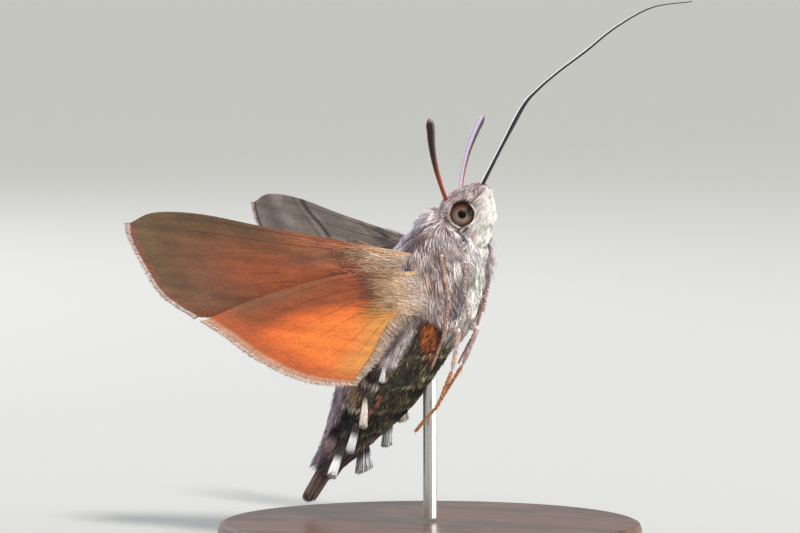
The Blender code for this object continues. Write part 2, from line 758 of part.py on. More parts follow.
def leg_stretches(joints, grow=0.0):
    """Thigh, then shin and foot of a leg, each as a line of world points with its radii."""
    root, knee, ankle = (Vector(joint) for joint in joints[:3])
    thigh = [body_point(root.lerp(knee, share)) for share, _ in THIGH_SHAPE]
    thigh_radii = [THIGH_RADIUS * size + grow for _, size in THIGH_SHAPE]
    line = [body_point(knee.lerp(ankle, share)) for share, _ in SHIN_SHAPE]
    narrowing = ANKLE_RADIUS - THIGH_RADIUS
    radii = [THIGH_RADIUS + narrowing * share + grow for _, share in SHIN_SHAPE]
    radii[0] -= THIGH_RADIUS * KNEE_NARROWING
    steps = 2 * FOOT_BEADS
    for index in range(steps + 1):
        share = FOOT_START + (1 - FOOT_START) * index / steps
        line.append(body_point(smooth_curve(joints[2:], share)))
        swell = FOOT_BEAD_SWELL if index % 2 else 1.0
        radii.append((FOOT_RADIUS + (CLAW_RADIUS - FOOT_RADIUS) * share) * swell + grow)
    return (thigh, thigh_radii), (line, radii)


def leg_courses():
    """Every leg's name with its joints in the body frame."""
    for word, side, legs in (("right", 1, RIGHT_LEGS), ("left", -1, LEFT_LEGS)):
        for kind, joints in legs.items():
            own = [(forward, dorsal, outward * side) for forward, dorsal, outward in joints]
            yield f"{kind}_{word}", own


def make_leg(name, joints):
    """A folded leg: a thigh joined at the knee to the shin, which runs on as a beaded foot."""
    thigh, shin = leg_stretches(joints)
    leg = loft_object(name, tube_rings(*shin, LEG_SIDES))
    combine(leg, [loft_object("thigh", tube_rings(*thigh, LEG_SIDES))], "UNION")
    paint(leg, (0.38, 0.26, 0.18), 0.8)


def leg_cutters():
    """Cutters that make room for the legs of both sides in the coat of the breast."""
    cutters = []
    for _, joints in leg_courses():
        for line, radii in leg_stretches(joints, GAP):
            line[0] = line[0] - (line[1] - line[0]).normalized() * GAP
            line[-1] = line[-1] + (line[-1] - line[-2]).normalized() * GAP
            cutters.append(loft_object("cutter", tube_rings(line, radii, LEG_SIDES)))
    return cutters


def make_stand():
    """A flat round base with a soft edge, and the rod that carries the moth's belly."""
    bm = bmesh.new()
    bmesh.ops.create_cone(
        bm,
        cap_ends=True,
        segments=BASE_SEGMENTS,
        radius1=BASE_RADIUS,
        radius2=BASE_RADIUS,
        depth=BASE_HEIGHT,
    )
    bmesh.ops.translate(bm, vec=(0, 0, BASE_HEIGHT / 2), verts=bm.verts)
    rim = [edge for edge in bm.edges if all(v.co.z > BASE_HEIGHT * 0.9 for v in edge.verts)]
    bmesh.ops.bevel(
        bm, geom=rim, offset=BASE_BEVEL, segments=2, profile=0.5, affect="EDGES", material=-1
    )
    base = mesh_object("stand_base", bm, (0.10, 0.055, 0.03), 0.4)

    rod_top = BODY_HEIGHT
    bm = bmesh.new()
    foot = BASE_HEIGHT + GAP
    bmesh.ops.create_cone(
        bm, cap_ends=True, segments=16, radius1=ROD_RADIUS, radius2=ROD_RADIUS, depth=rod_top - foot
    )
    bmesh.ops.translate(bm, vec=(ROD_FORWARD, 0, (rod_top + foot) / 2), verts=bm.verts)
    rod = mesh_object("stand_rod", bm)
    combine(rod, [grown_abdomen(), grown_thorax()], "DIFFERENCE")
    paint(rod, (0.62, 0.60, 0.56), 0.3, 1.0)
    return base, rod


def make_pair(right, colour, roughness=0.8):
    """Paints a piece of the right side and adds its mirror image on the left."""
    left = mirrored(right, right.name.replace("_right", "_left"))
    for obj in (right, left):
        paint(obj, colour, roughness)


def make_wings():
    """Both wings of both sides, the left ones beaten a little higher."""
    for kind, edges, veins, drop, colour in (
        ("forewing", FOREWING_EDGES, FOREWING_VEINS, 0.0, (0.30, 0.15, 0.08)),
        ("hindwing", HINDWING_EDGES, HINDWING_VEINS, HINDWING_DROP, (0.75, 0.26, 0.06)),
    ):
        right = make_wing(f"{kind}_right", edges, veins, drop)
        raised = make_wing("raised", edges, veins, drop, LEFT_WING_RAISE)
        for wing in (right, raised):
            combine(wing, [grown_thorax()], "DIFFERENCE")
            combine(wing, [grown_abdomen()], "DIFFERENCE")
        left = mirrored(raised, f"{kind}_left")
        remove(raised)
        for wing in (right, left):
            paint(wing, colour, 0.8)


def main():
    """Builds the moth and its stand."""
    for obj in list(bpy.data.objects):
        bpy.data.objects.remove(obj)
    make_stand()
    make_thorax()
    make_abdomen()
    make_head()
    make_proboscis()
    make_pair(make_eye(), (0.11, 0.07, 0.055), 0.2)
    make_pair(make_palp(), (0.80, 0.76, 0.74), 0.9)
    make_pair(make_antenna(), (0.10, 0.06, 0.04), 0.7)
    for name, joints in leg_courses():
        make_leg(name, joints)
    make_wings()


main()
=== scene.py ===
"""A life-size hummingbird hawk moth on its display stand: the looks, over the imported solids.

The moth is dressed in its own body frame, in millimetres: forward along the body, dorsal towards
the back, right towards its right side. BodyFrame turns that into the world, in metres. One skin
runs from the face to the tail and carries the coat, which is solid mesh: tapered hair-scales that
follow the lie of the coat, flat scales in the side tufts and the tail brush.
"""

from __future__ import annotations

import logging
import math
from dataclasses import dataclass, field
from enum import Enum
from typing import Callable, Optional, Sequence, Union

import bmesh
import bpy
import numpy as np
from mathutils import Matrix, Vector


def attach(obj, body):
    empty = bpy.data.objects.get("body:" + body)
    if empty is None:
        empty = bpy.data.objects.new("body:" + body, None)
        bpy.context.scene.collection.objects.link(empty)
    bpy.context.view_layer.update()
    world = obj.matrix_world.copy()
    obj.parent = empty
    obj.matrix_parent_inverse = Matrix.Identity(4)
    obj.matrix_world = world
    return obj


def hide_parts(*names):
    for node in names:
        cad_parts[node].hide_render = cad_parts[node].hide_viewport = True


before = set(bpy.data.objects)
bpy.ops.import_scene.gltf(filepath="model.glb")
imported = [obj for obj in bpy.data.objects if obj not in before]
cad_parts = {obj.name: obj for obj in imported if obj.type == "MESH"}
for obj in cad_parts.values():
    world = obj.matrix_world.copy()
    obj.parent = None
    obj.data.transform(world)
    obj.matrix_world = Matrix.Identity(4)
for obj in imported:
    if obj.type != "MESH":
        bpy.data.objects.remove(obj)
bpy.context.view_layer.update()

LOG = logging.getLogger("hawk_moth")

MM = 0.001
PITCH = math.radians(55.7)
BODY_HEIGHT = 20.6
# How much of the unwrap one tuft takes
BAKE_PATCH = 0.003
PIECE_TRIANGLES = 190_000
# How many roots look for their lock at a time
OWNER_BATCH = 4000
# Steps of a sequence that fills a square evenly
EVEN_STEPS = np.array([0.7548776662, 0.5698402910])
# Least and greatest linear tone of a hair and of a blade
TONE_RANGE = (0.002, 0.95)
BLADE_TONE_RANGE = (0.002, 0.92)
BLADE_THICKNESS = 0.12
# One unit of a wing's chart, with x along the span and y across it
WING_CHART_MM = 10

Array = np.ndarray
BMesh = bmesh.types.BMesh
Mesh = bpy.types.Mesh
Pair = tuple[float, float]
Material = bpy.types.Material
Place = tuple[float, float, float]
Socket = bpy.types.NodeSocket
Tree = bpy.types.NodeTree


# Places, curves and colours


def linear(code: str) -> Array:
    """Turns an sRGB hex colour into linear RGB.

    Args:
        code: Six hex digits after a hash.

    Returns:
        Three linear values.
    """
    values = np.array([int(code[i : i + 2], 16) for i in (1, 3, 5)]) / 255
    return np.where(values <= 0.04045, values / 12.92, ((values + 0.055) / 1.055) ** 2.4)


def rgba(code: str) -> tuple[float, float, float, float]:
    """Gives an sRGB hex colour as a linear colour for a socket."""
    return (*linear(code), 1.0)


def ease(values: Array, low: float, high: float) -> Array:
    """Rises smoothly from 0 at low to 1 at high.

    Args:
        values: Any numbers.
        low: Where the rise starts.
        high: Where it ends, above or below low.

    Returns:
        Numbers from 0 to 1.
    """
    share = np.clip((np.asarray(values, float) - low) / (high - low), 0, 1)
    return share * share * (3 - 2 * share)


def band(values: Array, low: float, high: float, soft: float) -> Array:
    """Is 1 between low and high, and falls to 0 over soft beyond each of them."""
    return ease(values, low - soft, low + soft) * (1 - ease(values, high - soft, high + soft))


def blend(under: Union[str, Array], *layers: tuple[str, Array]) -> Array:
    """Lays colours over another one, each over those before it.

    Args:
        under: A hex colour, or linear colours, one row each.
        layers: A hex colour each, with how much of it shows, from 0 to 1, for each row.

    Returns:
        The mixed linear colours.
    """
    tone = linear(under) if isinstance(under, str) else under
    for code, mask in layers:
        share = np.asarray(mask)[..., None]
        tone = tone * (1 - share) + linear(code) * share
    return tone


def unit(vectors: Array) -> Array:
    """Scales vectors to length 1."""
    return vectors / np.maximum(np.linalg.norm(vectors, axis=-1, keepdims=True), 1e-12)


def along_curve(points: Sequence[Sequence[float]], places: Array) -> Array:
    """Reads points off a smooth curve.

    Args:
        points: The points it runs through.
        places: Places along it, from 0 to 1, the points being evenly spread.

    Returns:
        One point for each place.
    """
    known = np.array(points, float)
    known = np.vstack([2 * known[0] - known[1], known, 2 * known[-1] - known[-2]])
    spans = len(points) - 1
    place = np.clip(np.asarray(places, float), 0, 1) * spans
    index = np.minimum(place.astype(int), spans - 1)
    t = (place - index)[..., None]
    p0, p1, p2, p3 = (known[index + shift] for shift in range(4))
    return 0.5 * (
        2 * p1
        + (p2 - p0) * t
        + (2 * p0 - 5 * p1 + 4 * p2 - p3) * t**2
        + (3 * p1 - p0 - 3 * p2 + p3) * t**3
    )


def between(table: Sequence[Sequence[float]], places: Array) -> Array:
    """Reads a table smoothly, its first column being the place.

    Args:
        table: Rows that start with a place, rising or falling.
        places: Where to read it.

    Returns:
        The other columns at each place.
    """
    rows = np.array(table, float)
    if rows[0, 0] > rows[-1, 0]:
        rows = rows[::-1]
    x, y = rows[:, 0], rows[:, 1:]
    slope = np.gradient(y, x, axis=0)
    place = np.clip(np.asarray(places, float), x[0], x[-1])
    index = np.clip(np.searchsorted(x, place) - 1, 0, len(x) - 2)
    step = (x[index + 1] - x[index])[..., None]
    t = ((place - x[index]))[..., None] / step
    a, b = y[index], y[index + 1]
    da, db = slope[index] * step, slope[index + 1] * step
    return a + da * t + (3 * (b - a) - 2 * da - db) * t**2 + (2 * (a - b) + da + db) * t**3


class Waves:
    """A smooth random field over a surface, made of a few waves."""

    def __init__(self, seed: int, scale: Sequence[float], count: int = 9) -> None:
        """Draws the waves.

        Args:
            seed: Makes the field repeatable.
            scale: How many waves fit in one unit of each direction.
            count: How many waves are added.
        """
        draw = np.random.default_rng(seed)
        self.waves = draw.normal(size=(count, len(scale))) * np.array(scale) * 2 * math.pi
        self.phases = draw.uniform(0, 2 * math.pi, count)

    def at(self, *coordinates: Array) -> Array:
        """Reads the field, which runs from about -1 to 1."""
        total = np.zeros(np.shape(coordinates[0]))
        for wave, phase in zip(self.waves, self.phases):
            angle = phase
            for rate, values in zip(wave, coordinates):
                angle = angle + rate * values
            total = total + np.sin(angle)
        return np.clip(total / math.sqrt(len(self.phases)), -1.6, 1.6)


@dataclass(frozen=True)
class BodyFrame:
    """The moth's own frame, nose up above the stand."""

    pitch: float = PITCH
    height: float = BODY_HEIGHT

    def axes(self) -> Array:
        """The forward, dorsal and right directions in the world, as rows."""
        c, s = math.cos(self.pitch), math.sin(self.pitch)
        return np.array([[c, 0, s], [-s, 0, c], [0, -1, 0]])

    def points(self, own: Array) -> Array:
        """Turns places in the body frame, in millimetres, into the world, in metres."""
        return (np.asarray(own, float) @ self.axes() + [0, 0, self.height]) * MM

    def own(self, world: Array) -> Array:
        """Turns places in the world, in metres, into the body frame, in millimetres."""
        return (np.asarray(world, float) / MM - [0, 0, self.height]) @ self.axes().T


BODY = BodyFrame()


# Materials


Settings = dict[Union[str, int], object]
# Fractal noise mostly keeps between these values
NOISE_LOW, NOISE_HIGH = 0.3, 0.7


def set_inputs(tree: Tree, node: bpy.types.Node, inputs: Settings) -> None:
    """Sets a node's inputs.

    Args:
        tree: The tree that the node is in.
        node: The node.
        inputs: By name or number, a value, or the output socket that is linked there.
    """
    for name, value in inputs.items():
        if isinstance(value, Socket):
            tree.links.new(value, node.inputs[name])
        else:
            node.inputs[name].default_value = value


def add_node(tree: Tree, kind: str, inputs: Optional[Settings] = None,
             stops: Sequence[tuple[float, str]] = (), **settings: object) -> Sequence[Socket]:
    """Adds a node with its settings, its values and its links.

    Args:
        tree: The material's tree.
        kind: The node's type, without the ShaderNode prefix.
        inputs: By name or number, a value, or the output socket that is linked there.
        stops: Places and hex colours, for a colour ramp.
        settings: Attributes of the node.

    Returns:
        The node's outputs.
    """
    node = tree.nodes.new("ShaderNode" + kind)
    for name, value in settings.items():
        setattr(node, name, value)
    set_inputs(tree, node, inputs or {})
    if stops:
        elements = node.color_ramp.elements
        while len(elements) < len(stops):
            elements.new(0.5)
        for element, (place, code) in zip(elements, stops):
            element.position = place
            element.color = rgba(code)
    return node.outputs


@dataclass(frozen=True)
class Finish:
    """A procedural material. Each kind says what its shader's inputs are."""

    name: str

    def inputs(self, tree: Tree) -> Settings:
        """Gives the shader's inputs by name, as values or sockets."""
        raise NotImplementedError

    def build(self) -> Material:
        """Makes the material."""
        material = bpy.data.materials.new(self.name)
        material.use_nodes = True
        tree = material.node_tree
        set_inputs(tree, tree.nodes["Principled BSDF"], self.inputs(tree))
        return material

    @staticmethod
    def grained(tree: Tree, colour: Socket, vector: Socket, scale: float, change: float,
                detail: float, rough: float = 0.5) -> tuple[Socket, Socket]:
        """Varies a colour's lightness with fractal noise.

        Args:
            tree: The material's tree.
            colour: The colour.
            vector: The place that the noise is read at.
            scale: The noise's scale.
            change: How much lighter and darker it makes the colour.
            detail: The noise's octaves.
            rough: How strong the fine octaves are.

        Returns:
            The colour and the noise.
        """
        values = {"Vector": vector, "Scale": scale, "Detail": detail, "Roughness": rough}
        grain = add_node(tree, "TexNoise", values)[0]
        limits = {0: grain, 1: NOISE_LOW, 2: NOISE_HIGH, 3: 1 - change, 4: 1 + change}
        factor = add_node(tree, "MapRange", limits)[0]
        return add_node(tree, "VectorMath", {0: colour, "Scale": factor}, operation="SCALE")[0], grain


@dataclass(frozen=True)
class CoatFinish(Finish):
    """Hair-scales: thin, grooved flat hairs that each have their own tone and shine a little."""

    grain_mm: float = 0.16
    contrast: float = 0.22

    def inputs(self, tree: Tree) -> Settings:
        """Gives the piece's own Tone attribute a fine grain."""
        tone = add_node(tree, "Attribute", attribute_name="Tone")["Color"]
        place = add_node(tree, "TexCoord")["Object"]
        colour, _ = self.grained(tree, tone, place, 1 / (self.grain_mm * MM), self.contrast, 2.0, 0.6)
        return {
            "Base Color": colour, "Roughness": 0.55, "Sheen Weight": 0.25, "Sheen Roughness": 0.4,
            "Specular IOR Level": 0.35,
        }


@dataclass(frozen=True)
class WingFinish(Finish):
    """A scaled wing: rows of tiny overlapping scales on a membrane, dull with a silky cross grain."""

    streak: float = 0.16
    speckle: float = 0.16
    scale_mm: float = 0.22
    speck_mm: float = 0.13

    def inputs(self, tree: Tree) -> Settings:
        """Gives the Tone attribute streaks along the wing and rows of scales across it."""
        tone = add_node(tree, "Attribute", attribute_name="Tone")["Color"]
        chart = add_node(tree, "UVMap", uv_map="WingChart")["UV"]
        place = add_node(tree, "TexCoord")["Object"]
        rows = WING_CHART_MM / self.scale_mm
        stretch = add_node(tree, "Mapping", {"Vector": chart, "Scale": (rows * 0.30, rows * 1.2, 1)})[0]
        colour, _ = self.grained(tree, tone, stretch, 1.0, self.streak, 3.0, 0.65)
        colour, _ = self.grained(tree, colour, place, 1 / (self.speck_mm * MM), self.speckle, 1.0)
        scales = {"Vector": stretch, "Scale": 1.0, "Randomness": 0.6}
        height = add_node(tree, "TexVoronoi", scales, feature="F1")["Distance"]
        relief = {"Height": height, "Strength": 0.35, "Distance": 0.02 * MM}
        return {
            "Base Color": colour, "Normal": add_node(tree, "Bump", relief)[0], "Roughness": 0.62,
            "Sheen Weight": 0.15, "Specular IOR Level": 0.3,
        }


@dataclass(frozen=True)
class EyeFinish(Finish):
    """A compound eye: facets over brown pigment, with black false pupils fixed in it."""

    centre: Place
    pupil: Place
    second: Place
    light: Place
    facet_mm: float = 0.07

    @staticmethod
    def spot(tree: Tree, towards: Socket, where: Place, inner: float, outer: float) -> Socket:
        """Makes a round mask about one direction of the eye.

        Args:
            tree: The material's tree.
            towards: Each point's direction from the eye's centre.
            where: The spot's direction.
            inner: Its full radius, in degrees.
            outer: Where it ends, in degrees.

        Returns:
            A socket that is 1 in the spot.
        """
        turned = add_node(tree, "VectorMath", {0: towards, 1: where}, operation="DOT_PRODUCT")["Value"]
        start, end = (math.cos(math.radians(angle)) for angle in (outer, inner))
        return add_node(tree, "MapRange", {0: turned, 1: start, 2: end, 3: 0.0, 4: 1.0})[0]

    def inputs(self, tree: Tree) -> Settings:
        """Shades the iris from dark at its rim to pale, its darker top partly painted shade under the brow,
        and lays the black spots and the facets' edges on it.
        """
        place = add_node(tree, "TexCoord")["Object"]
        offset = add_node(tree, "VectorMath", {0: place, 1: self.centre}, operation="SUBTRACT")[0]
        towards = add_node(tree, "VectorMath", {0: offset}, operation="NORMALIZE")[0]
        # The iris darkens away from its palest part: its own darker rim, with painted shade under the brow
        # at the top
        turned = add_node(tree, "VectorMath", {0: towards, 1: self.light}, operation="DOT_PRODUCT")["Value"]
        iris = ((0.0, "#1e0e09"), (0.50, "#381f15"), (0.74, "#5f4436"), (0.90, "#7d6b5f"), (1.0, "#8c7b6e"))
        base = add_node(tree, "ValToRGB", {0: turned}, iris)["Color"]
        main = self.spot(tree, towards, self.pupil, 16, 24)
        second = self.spot(tree, towards, self.second, 13, 29)
        darkest = add_node(tree, "Math", {0: main, 1: second}, operation="MAXIMUM")[0]
        cells = {"Vector": place, "Scale": 1 / (self.facet_mm * MM), "Randomness": 0.15}
        edge = add_node(tree, "TexVoronoi", cells, feature="DISTANCE_TO_EDGE")["Distance"]
        lines = add_node(tree, "MapRange", {0: edge, 1: 0.0, 2: 0.09, 3: 0.6, 4: 1.0})[0]
        lit = add_node(tree, "VectorMath", {0: base, "Scale": lines}, operation="SCALE")[0]
        mixed = add_node(tree, "Mix", {0: darkest, 6: lit, 7: rgba("#050303")}, data_type="RGBA")[2]
        relief = {"Height": edge, "Strength": 0.12, "Distance": 0.02 * MM}
        return {
            "Base Color": mixed, "Normal": add_node(tree, "Bump", relief)[0], "Roughness": 0.40,
            "Specular IOR Level": 0.10,
        }


@dataclass(frozen=True)
class CuticleFinish(Finish):
    """Bare or thinly scaled horn of a leg, feeler or tongue, glossy where it is bare."""

    roughness: float = 0.35
    grain_mm: float = 0.1
    bump_mm: float = 0.01
    contrast: float = 0.15

    def inputs(self, tree: Tree) -> Settings:
        """Gives the piece's own Tone attribute a fine grain and relief."""
        tone = add_node(tree, "Attribute", attribute_name="Tone")["Color"]
        place = add_node(tree, "TexCoord")["Object"]
        colour, grain = self.grained(tree, tone, place, 1 / (self.grain_mm * MM), self.contrast, 3.0)
        relief = {"Height": grain, "Strength": 0.4, "Distance": self.bump_mm * MM}
        normal = add_node(tree, "Bump", relief)[0]
        return {"Base Color": colour, "Normal": normal, "Roughness": self.roughness}


@dataclass(frozen=True)
class WalnutFinish(Finish):
    """Turned and varnished walnut: long dark figure with fine pores under a satin coat."""

    name: str = "varnished_walnut"
    figure_mm: float = 3.2
    pore_mm: float = 0.35

    def inputs(self, tree: Tree) -> Settings:
        """Draws the figure and the pores along the grain."""
        place = add_node(tree, "TexCoord")["Object"]
        grain = {"Vector": place, "Scale": (0.18, 1.0, 1.0), "Rotation": (0.05, 0.03, 0.35)}
        stretch = add_node(tree, "Mapping", grain)[0]
        scale = 1 / (self.figure_mm * MM)
        values = {"Vector": stretch, "Scale": scale, "Detail": 5.0, "Roughness": 0.6, "Distortion": 1.2}
        bands = add_node(tree, "TexNoise", values)[0]
        browns = ((0.28, "#2e1a10"), (0.45, "#4a2d1b"), (0.58, "#6a4429"), (0.75, "#432716"))
        figure = add_node(tree, "ValToRGB", {0: bands}, browns)["Color"]
        values = {"Vector": stretch, "Scale": 1 / (self.pore_mm * MM), "Detail": 2.0}
        pores = add_node(tree, "TexNoise", values)[0]
        shade = add_node(tree, "MapRange", {0: pores, 1: 0.35, 2: 0.6, 3: 0.7, 4: 1.05})[0]
        relief = {"Height": pores, "Strength": 0.15, "Distance": 0.03 * MM}
        return {
            "Base Color": add_node(tree, "VectorMath", {0: figure, "Scale": shade}, operation="SCALE")[0],
            "Normal": add_node(tree, "Bump", relief)[0],
            "Roughness": 0.42,
            "Coat Weight": 0.35,
            "Coat Roughness": 0.18,
        }


@dataclass(frozen=True)
class SteelFinish(Finish):
    """Drawn stainless wire, polished: bright with faint lines along it."""

    name: str = "polished_stainless"
    line_mm: float = 0.08

    def inputs(self, tree: Tree) -> Settings:
        """Varies the roughness in lines along the wire."""
        place = add_node(tree, "TexCoord")["Object"]
        stretch = add_node(tree, "Mapping", {"Vector": place, "Scale": (1.0, 1.0, 0.04)})[0]
        values = {"Vector": stretch, "Scale": 1 / (self.line_mm * MM), "Detail": 2.0}
        lines = add_node(tree, "TexNoise", values)[0]
        rough = add_node(tree, "MapRange", {0: lines, 1: NOISE_LOW, 2: NOISE_HIGH, 3: 0.22, 4: 0.34})[0]
        return {"Base Color": rgba("#c9c7c2"), "Metallic": 1.0, "Roughness": rough}


@dataclass(frozen=True)
class FloorFinish(Finish):
    """Matt pale studio paper."""

    name: str = "studio_paper"
    colour: str = "#b7b9b6"
    fibre_mm: float = 1.1

    def inputs(self, tree: Tree) -> Settings:
        """Gives the paper its faint fibres."""
        place = add_node(tree, "TexCoord")["Object"]
        paper = add_node(tree, "RGB")[0]
        paper.default_value = rgba(self.colour)
        colour, _ = self.grained(tree, paper, place, 1 / (self.fibre_mm * MM), 0.015, 3.0)
        return {"Base Color": colour, "Roughness": 0.9, "Specular IOR Level": 0.2}


# Meshes


def link_object(name: str, data: bpy.types.ID) -> bpy.types.Object:
    """Makes an object of its data and links it to the scene."""
    made = bpy.data.objects.new(name, data)
    bpy.context.scene.collection.objects.link(made)
    return made


def mesh_of(bm: BMesh, name: str) -> Mesh:
    """Turns a bmesh into a mesh and frees it."""
    mesh = bpy.data.meshes.new(name)
    bm.to_mesh(mesh)
    bm.free()
    return mesh


def set_tone(mesh: Mesh, colours: Array) -> None:
    """Stores one linear colour for each vertex as the attribute Tone."""
    layer = mesh.attributes.new("Tone", "FLOAT_COLOR", "POINT")
    values = np.ones((len(colours), 4), np.float32)
    values[:, :3] = colours
    layer.data.foreach_set("color", values.ravel())


def add_piece(mesh: Mesh, material: Material, slot: str, *nodes: str) -> None:
    """Makes a smooth piece that rides on the model.

    Args:
        mesh: Its mesh, whose name it takes.
        material: Its finish.
        slot: The name of a material slot; it is not used.
        nodes: The CAD nodes that it stands for.
    """
    mesh.materials.append(material)
    mesh.shade_smooth()
    piece = link_object(mesh.name, mesh)
    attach(piece, "root")
    if nodes:
        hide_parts(*nodes)
    LOG.info("%s: %d faces", piece.name, len(mesh.polygons))


def loft(rings: Array, close_start: bool = True, close_end: bool = True) -> BMesh:
    """Extrudes a circle through rings of world points, and closes its ends to a point.

    Args:
        rings: Rings, each with the same count of points, in metres.
        close_start: Whether the first ring is closed.
        close_end: Whether the last ring is closed.

    Returns:
        The mesh, with its vertices in the order of the rings.
    """
    bm = bmesh.new()
    sides = rings.shape[1]
    first = bmesh.ops.create_circle(bm, segments=sides, radius=MM)["verts"]
    for vert, place in zip(first, rings[0]):
        vert.co = place
    row = first
    for ring in rings[1:]:
        edges = [bm.edges.get((row[i], row[(i + 1) % sides])) for i in range(sides)]
        made = bmesh.ops.extrude_edge_only(bm, edges=edges)["geom"]
        fresh = {item for item in made if isinstance(item, bmesh.types.BMVert)}
        row = [next(e.other_vert(v) for e in v.link_edges if e.other_vert(v) in fresh) for v in row]
        for vert, place in zip(row, ring):
            vert.co = place
    for wanted, ends in ((close_start, first), (close_end, row)):
        if wanted:
            edges = [bm.edges.get((ends[i], ends[(i + 1) % sides])) for i in range(sides)]
            made = bmesh.ops.extrude_edge_only(bm, edges=edges)["geom"]
            tip = [item for item in made if isinstance(item, bmesh.types.BMVert)]
            centre = sum((v.co for v in ends), Vector()) / sides
            bmesh.ops.pointmerge(bm, verts=tip, merge_co=centre)
    bmesh.ops.recalc_face_normals(bm, faces=bm.faces)
    return bm


def own_places(bm: BMesh) -> Array:
    """Gives the places of a mesh's vertices in the body frame."""
    return BODY.own([vert.co[:] for vert in bm.verts])


def frames_along(line: Array, guide: Sequence[float]) -> tuple[Array, Array, Array]:
    """Finds directions along and across a line of points.

    Args:
        line: Points.
        guide: Which way the first cross direction leans.

    Returns:
        The directions along, across and at right angles to both, one row for each point.
    """
    tangent = unit(np.gradient(line, axis=0))
    across = unit(np.array(guide, float) - tangent * (tangent @ np.array(guide, float))[:, None])
    return tangent, across, np.cross(tangent, across)


class Surface:
    """A surface that tufts grow on, with two coordinates, in the body frame in millimetres."""

    def point(self, u: Array, v: Array) -> Array:
        """Gives the place at two coordinates."""
        raise NotImplementedError

    def normal(self, u: Array, v: Array) -> Array:
        """Gives the outward direction at two coordinates."""
        step = 0.02
        du = self.point(u + step, v) - self.point(u - step, v)
        dv = self.point(u, v + step) - self.point(u, v - step)
        return unit(np.cross(dv, du))

    def girth(self, u: Array) -> Array:
        """Gives the length of one unit of the second coordinate at the first."""
        return np.ones(np.shape(u))


@dataclass
class Tufts:
    """Tapered, slightly roofed hair-scales, gathered as arrays and made into joined meshes."""

    name: str
    material: Material
    thickness: float = 0.35
    batches: list[tuple[Array, ...]] = field(default_factory=list)

    def add(self, line: Array, side: Array, up: Array, width: Array, tone: Array, chart: Array) -> None:
        """Adds tufts.

        Args:
            line: Centre lines in the body frame, tuft by point by coordinate.
            side: Unit directions across each tuft, likewise.
            up: Unit directions out of each tuft, likewise.
            width: Half widths, tuft by point. The last point is the tip.
            tone: Linear colours, tuft by point by channel.
            chart: Each root's place on the unwrap, from 0 to 1.
        """
        self.batches.append((line, side, up, width, tone, chart))

    def build(self, slot: str) -> None:
        """Makes the pieces, each under the limit of triangles."""
        rows = [np.concatenate(batch) for batch in zip(*self.batches)]
        faces = self.faces(rows[0].shape[1] - 1)
        parts = math.ceil(len(rows[0]) / (PIECE_TRIANGLES // len(faces)))
        for number, chosen in enumerate(np.array_split(np.arange(len(rows[0])), parts), 1):
            name = self.name if parts == 1 else f"{self.name}_{number}"
            add_piece(self.mesh(name, faces, *(row[chosen] for row in rows)), self.material, slot)

    @staticmethod
    def faces(rings: int) -> Array:
        """Gives the triangles of one tuft: a closed root, three sides and a pointed tip."""
        faces = [(0, 1, 2)]
        for ring in range(rings):
            for corner in range(3):
                a, b = 3 * ring + corner, 3 * ring + (corner + 1) % 3
                if ring < rings - 1:
                    faces += [(a, a + 3, b + 3), (a, b + 3, b)]
                else:
                    faces.append((a, 3 * rings, b))
        return np.array(faces)

    def mesh(self, name: str, faces: Array, line: Array, side: Array, up: Array, width: Array,
             tone: Array, chart: Array) -> Mesh:
        """Makes one mesh of tufts, given one tuft's triangles and what add takes."""
        count, points = width.shape
        rings = points - 1
        verts = rings * 3 + 1
        half = width[..., None]
        place = np.empty((count, verts, 3))
        place[:, 0:-1:3] = (line - side * half)[:, :-1]
        place[:, 1:-1:3] = (line + side * half)[:, :-1]
        place[:, 2:-1:3] = (line + up * half * self.thickness * 2)[:, :-1]
        place[:, -1] = line[:, -1]
        colour = np.repeat(tone, 3, axis=1)[:, :verts]
        index = (np.arange(count)[:, None, None] * verts + faces[None]).reshape(-1)
        mesh = bpy.data.meshes.new(name)
        mesh.vertices.add(count * verts)
        mesh.vertices.foreach_set("co", BODY.points(place.reshape(-1, 3)).astype(np.float32).ravel())
        mesh.loops.add(len(index))
        mesh.loops.foreach_set("vertex_index", index.astype(np.int32))
        mesh.polygons.add(len(index) // 3)
        mesh.polygons.foreach_set("loop_start", np.arange(0, len(index), 3, dtype=np.int32))
        mesh.update(calc_edges=True)
        set_tone(mesh, colour.reshape(-1, 3))
        level = np.append(np.repeat(np.arange(rings), 3), rings) / rings
        sideways = np.append(np.tile([0.0, 1.0, 0.5], rings), 0.5)
        patch = np.stack([sideways, level], 1) * BAKE_PATCH
        places = (chart[:, None] * (1 - BAKE_PATCH) + patch[None]).reshape(-1, 2)
        layer = mesh.uv_layers.new(name="OFBake")
        layer.data.foreach_set("uv", places[index].astype(np.float32).ravel())
        mesh.validate()
        return mesh


Amount = Union[float, Callable[[Array, Array], Array]]


@dataclass
class Lie:
    """How tufts stand on a surface: their lengths, turn, rise, clumping and tones.

    An amount is a number or a function of the tufts' two coordinates. The function for the
    tones also takes a random number from 0 to 1 for each tuft.
    """

    length: Amount
    rise: Amount
    tone: Callable[[Array, Array, Array], Array]
    turn: Amount = 0.0
    width: float = 0.04
    lock_size: float = 0.9
    lock_pull: float = 0.6
    points: int = 4
    towards: float = -1.0
    jitter: float = 0.12
    # Each hair is darker at its root by root_shade, painted shade of the coat's depth, and lighter towards
    # its tip by tip_shade
    root_shade: float = 1.0
    tip_shade: float = 1.0


def amount(value: Amount, u: Array, v: Array) -> Array:
    """Reads an amount at two coordinates."""
    return value(u, v) if callable(value) else np.full(len(u), value)


def varied(draw: np.random.Generator, common: Array, share: float, own: float, low: float,
           high: float) -> Array:
    """Draws factors near 1 for tufts.

    Args:
        draw: The random draw.
        common: A number for each tuft that its lock shares.
        share: How much that counts.
        own: How much each tuft varies by itself.
        low: The least factor.
        high: The greatest factor.

    Returns:
        One factor for each tuft.
    """
    return np.clip(1 + share * common + draw.normal(0, own, len(common)), low, high)


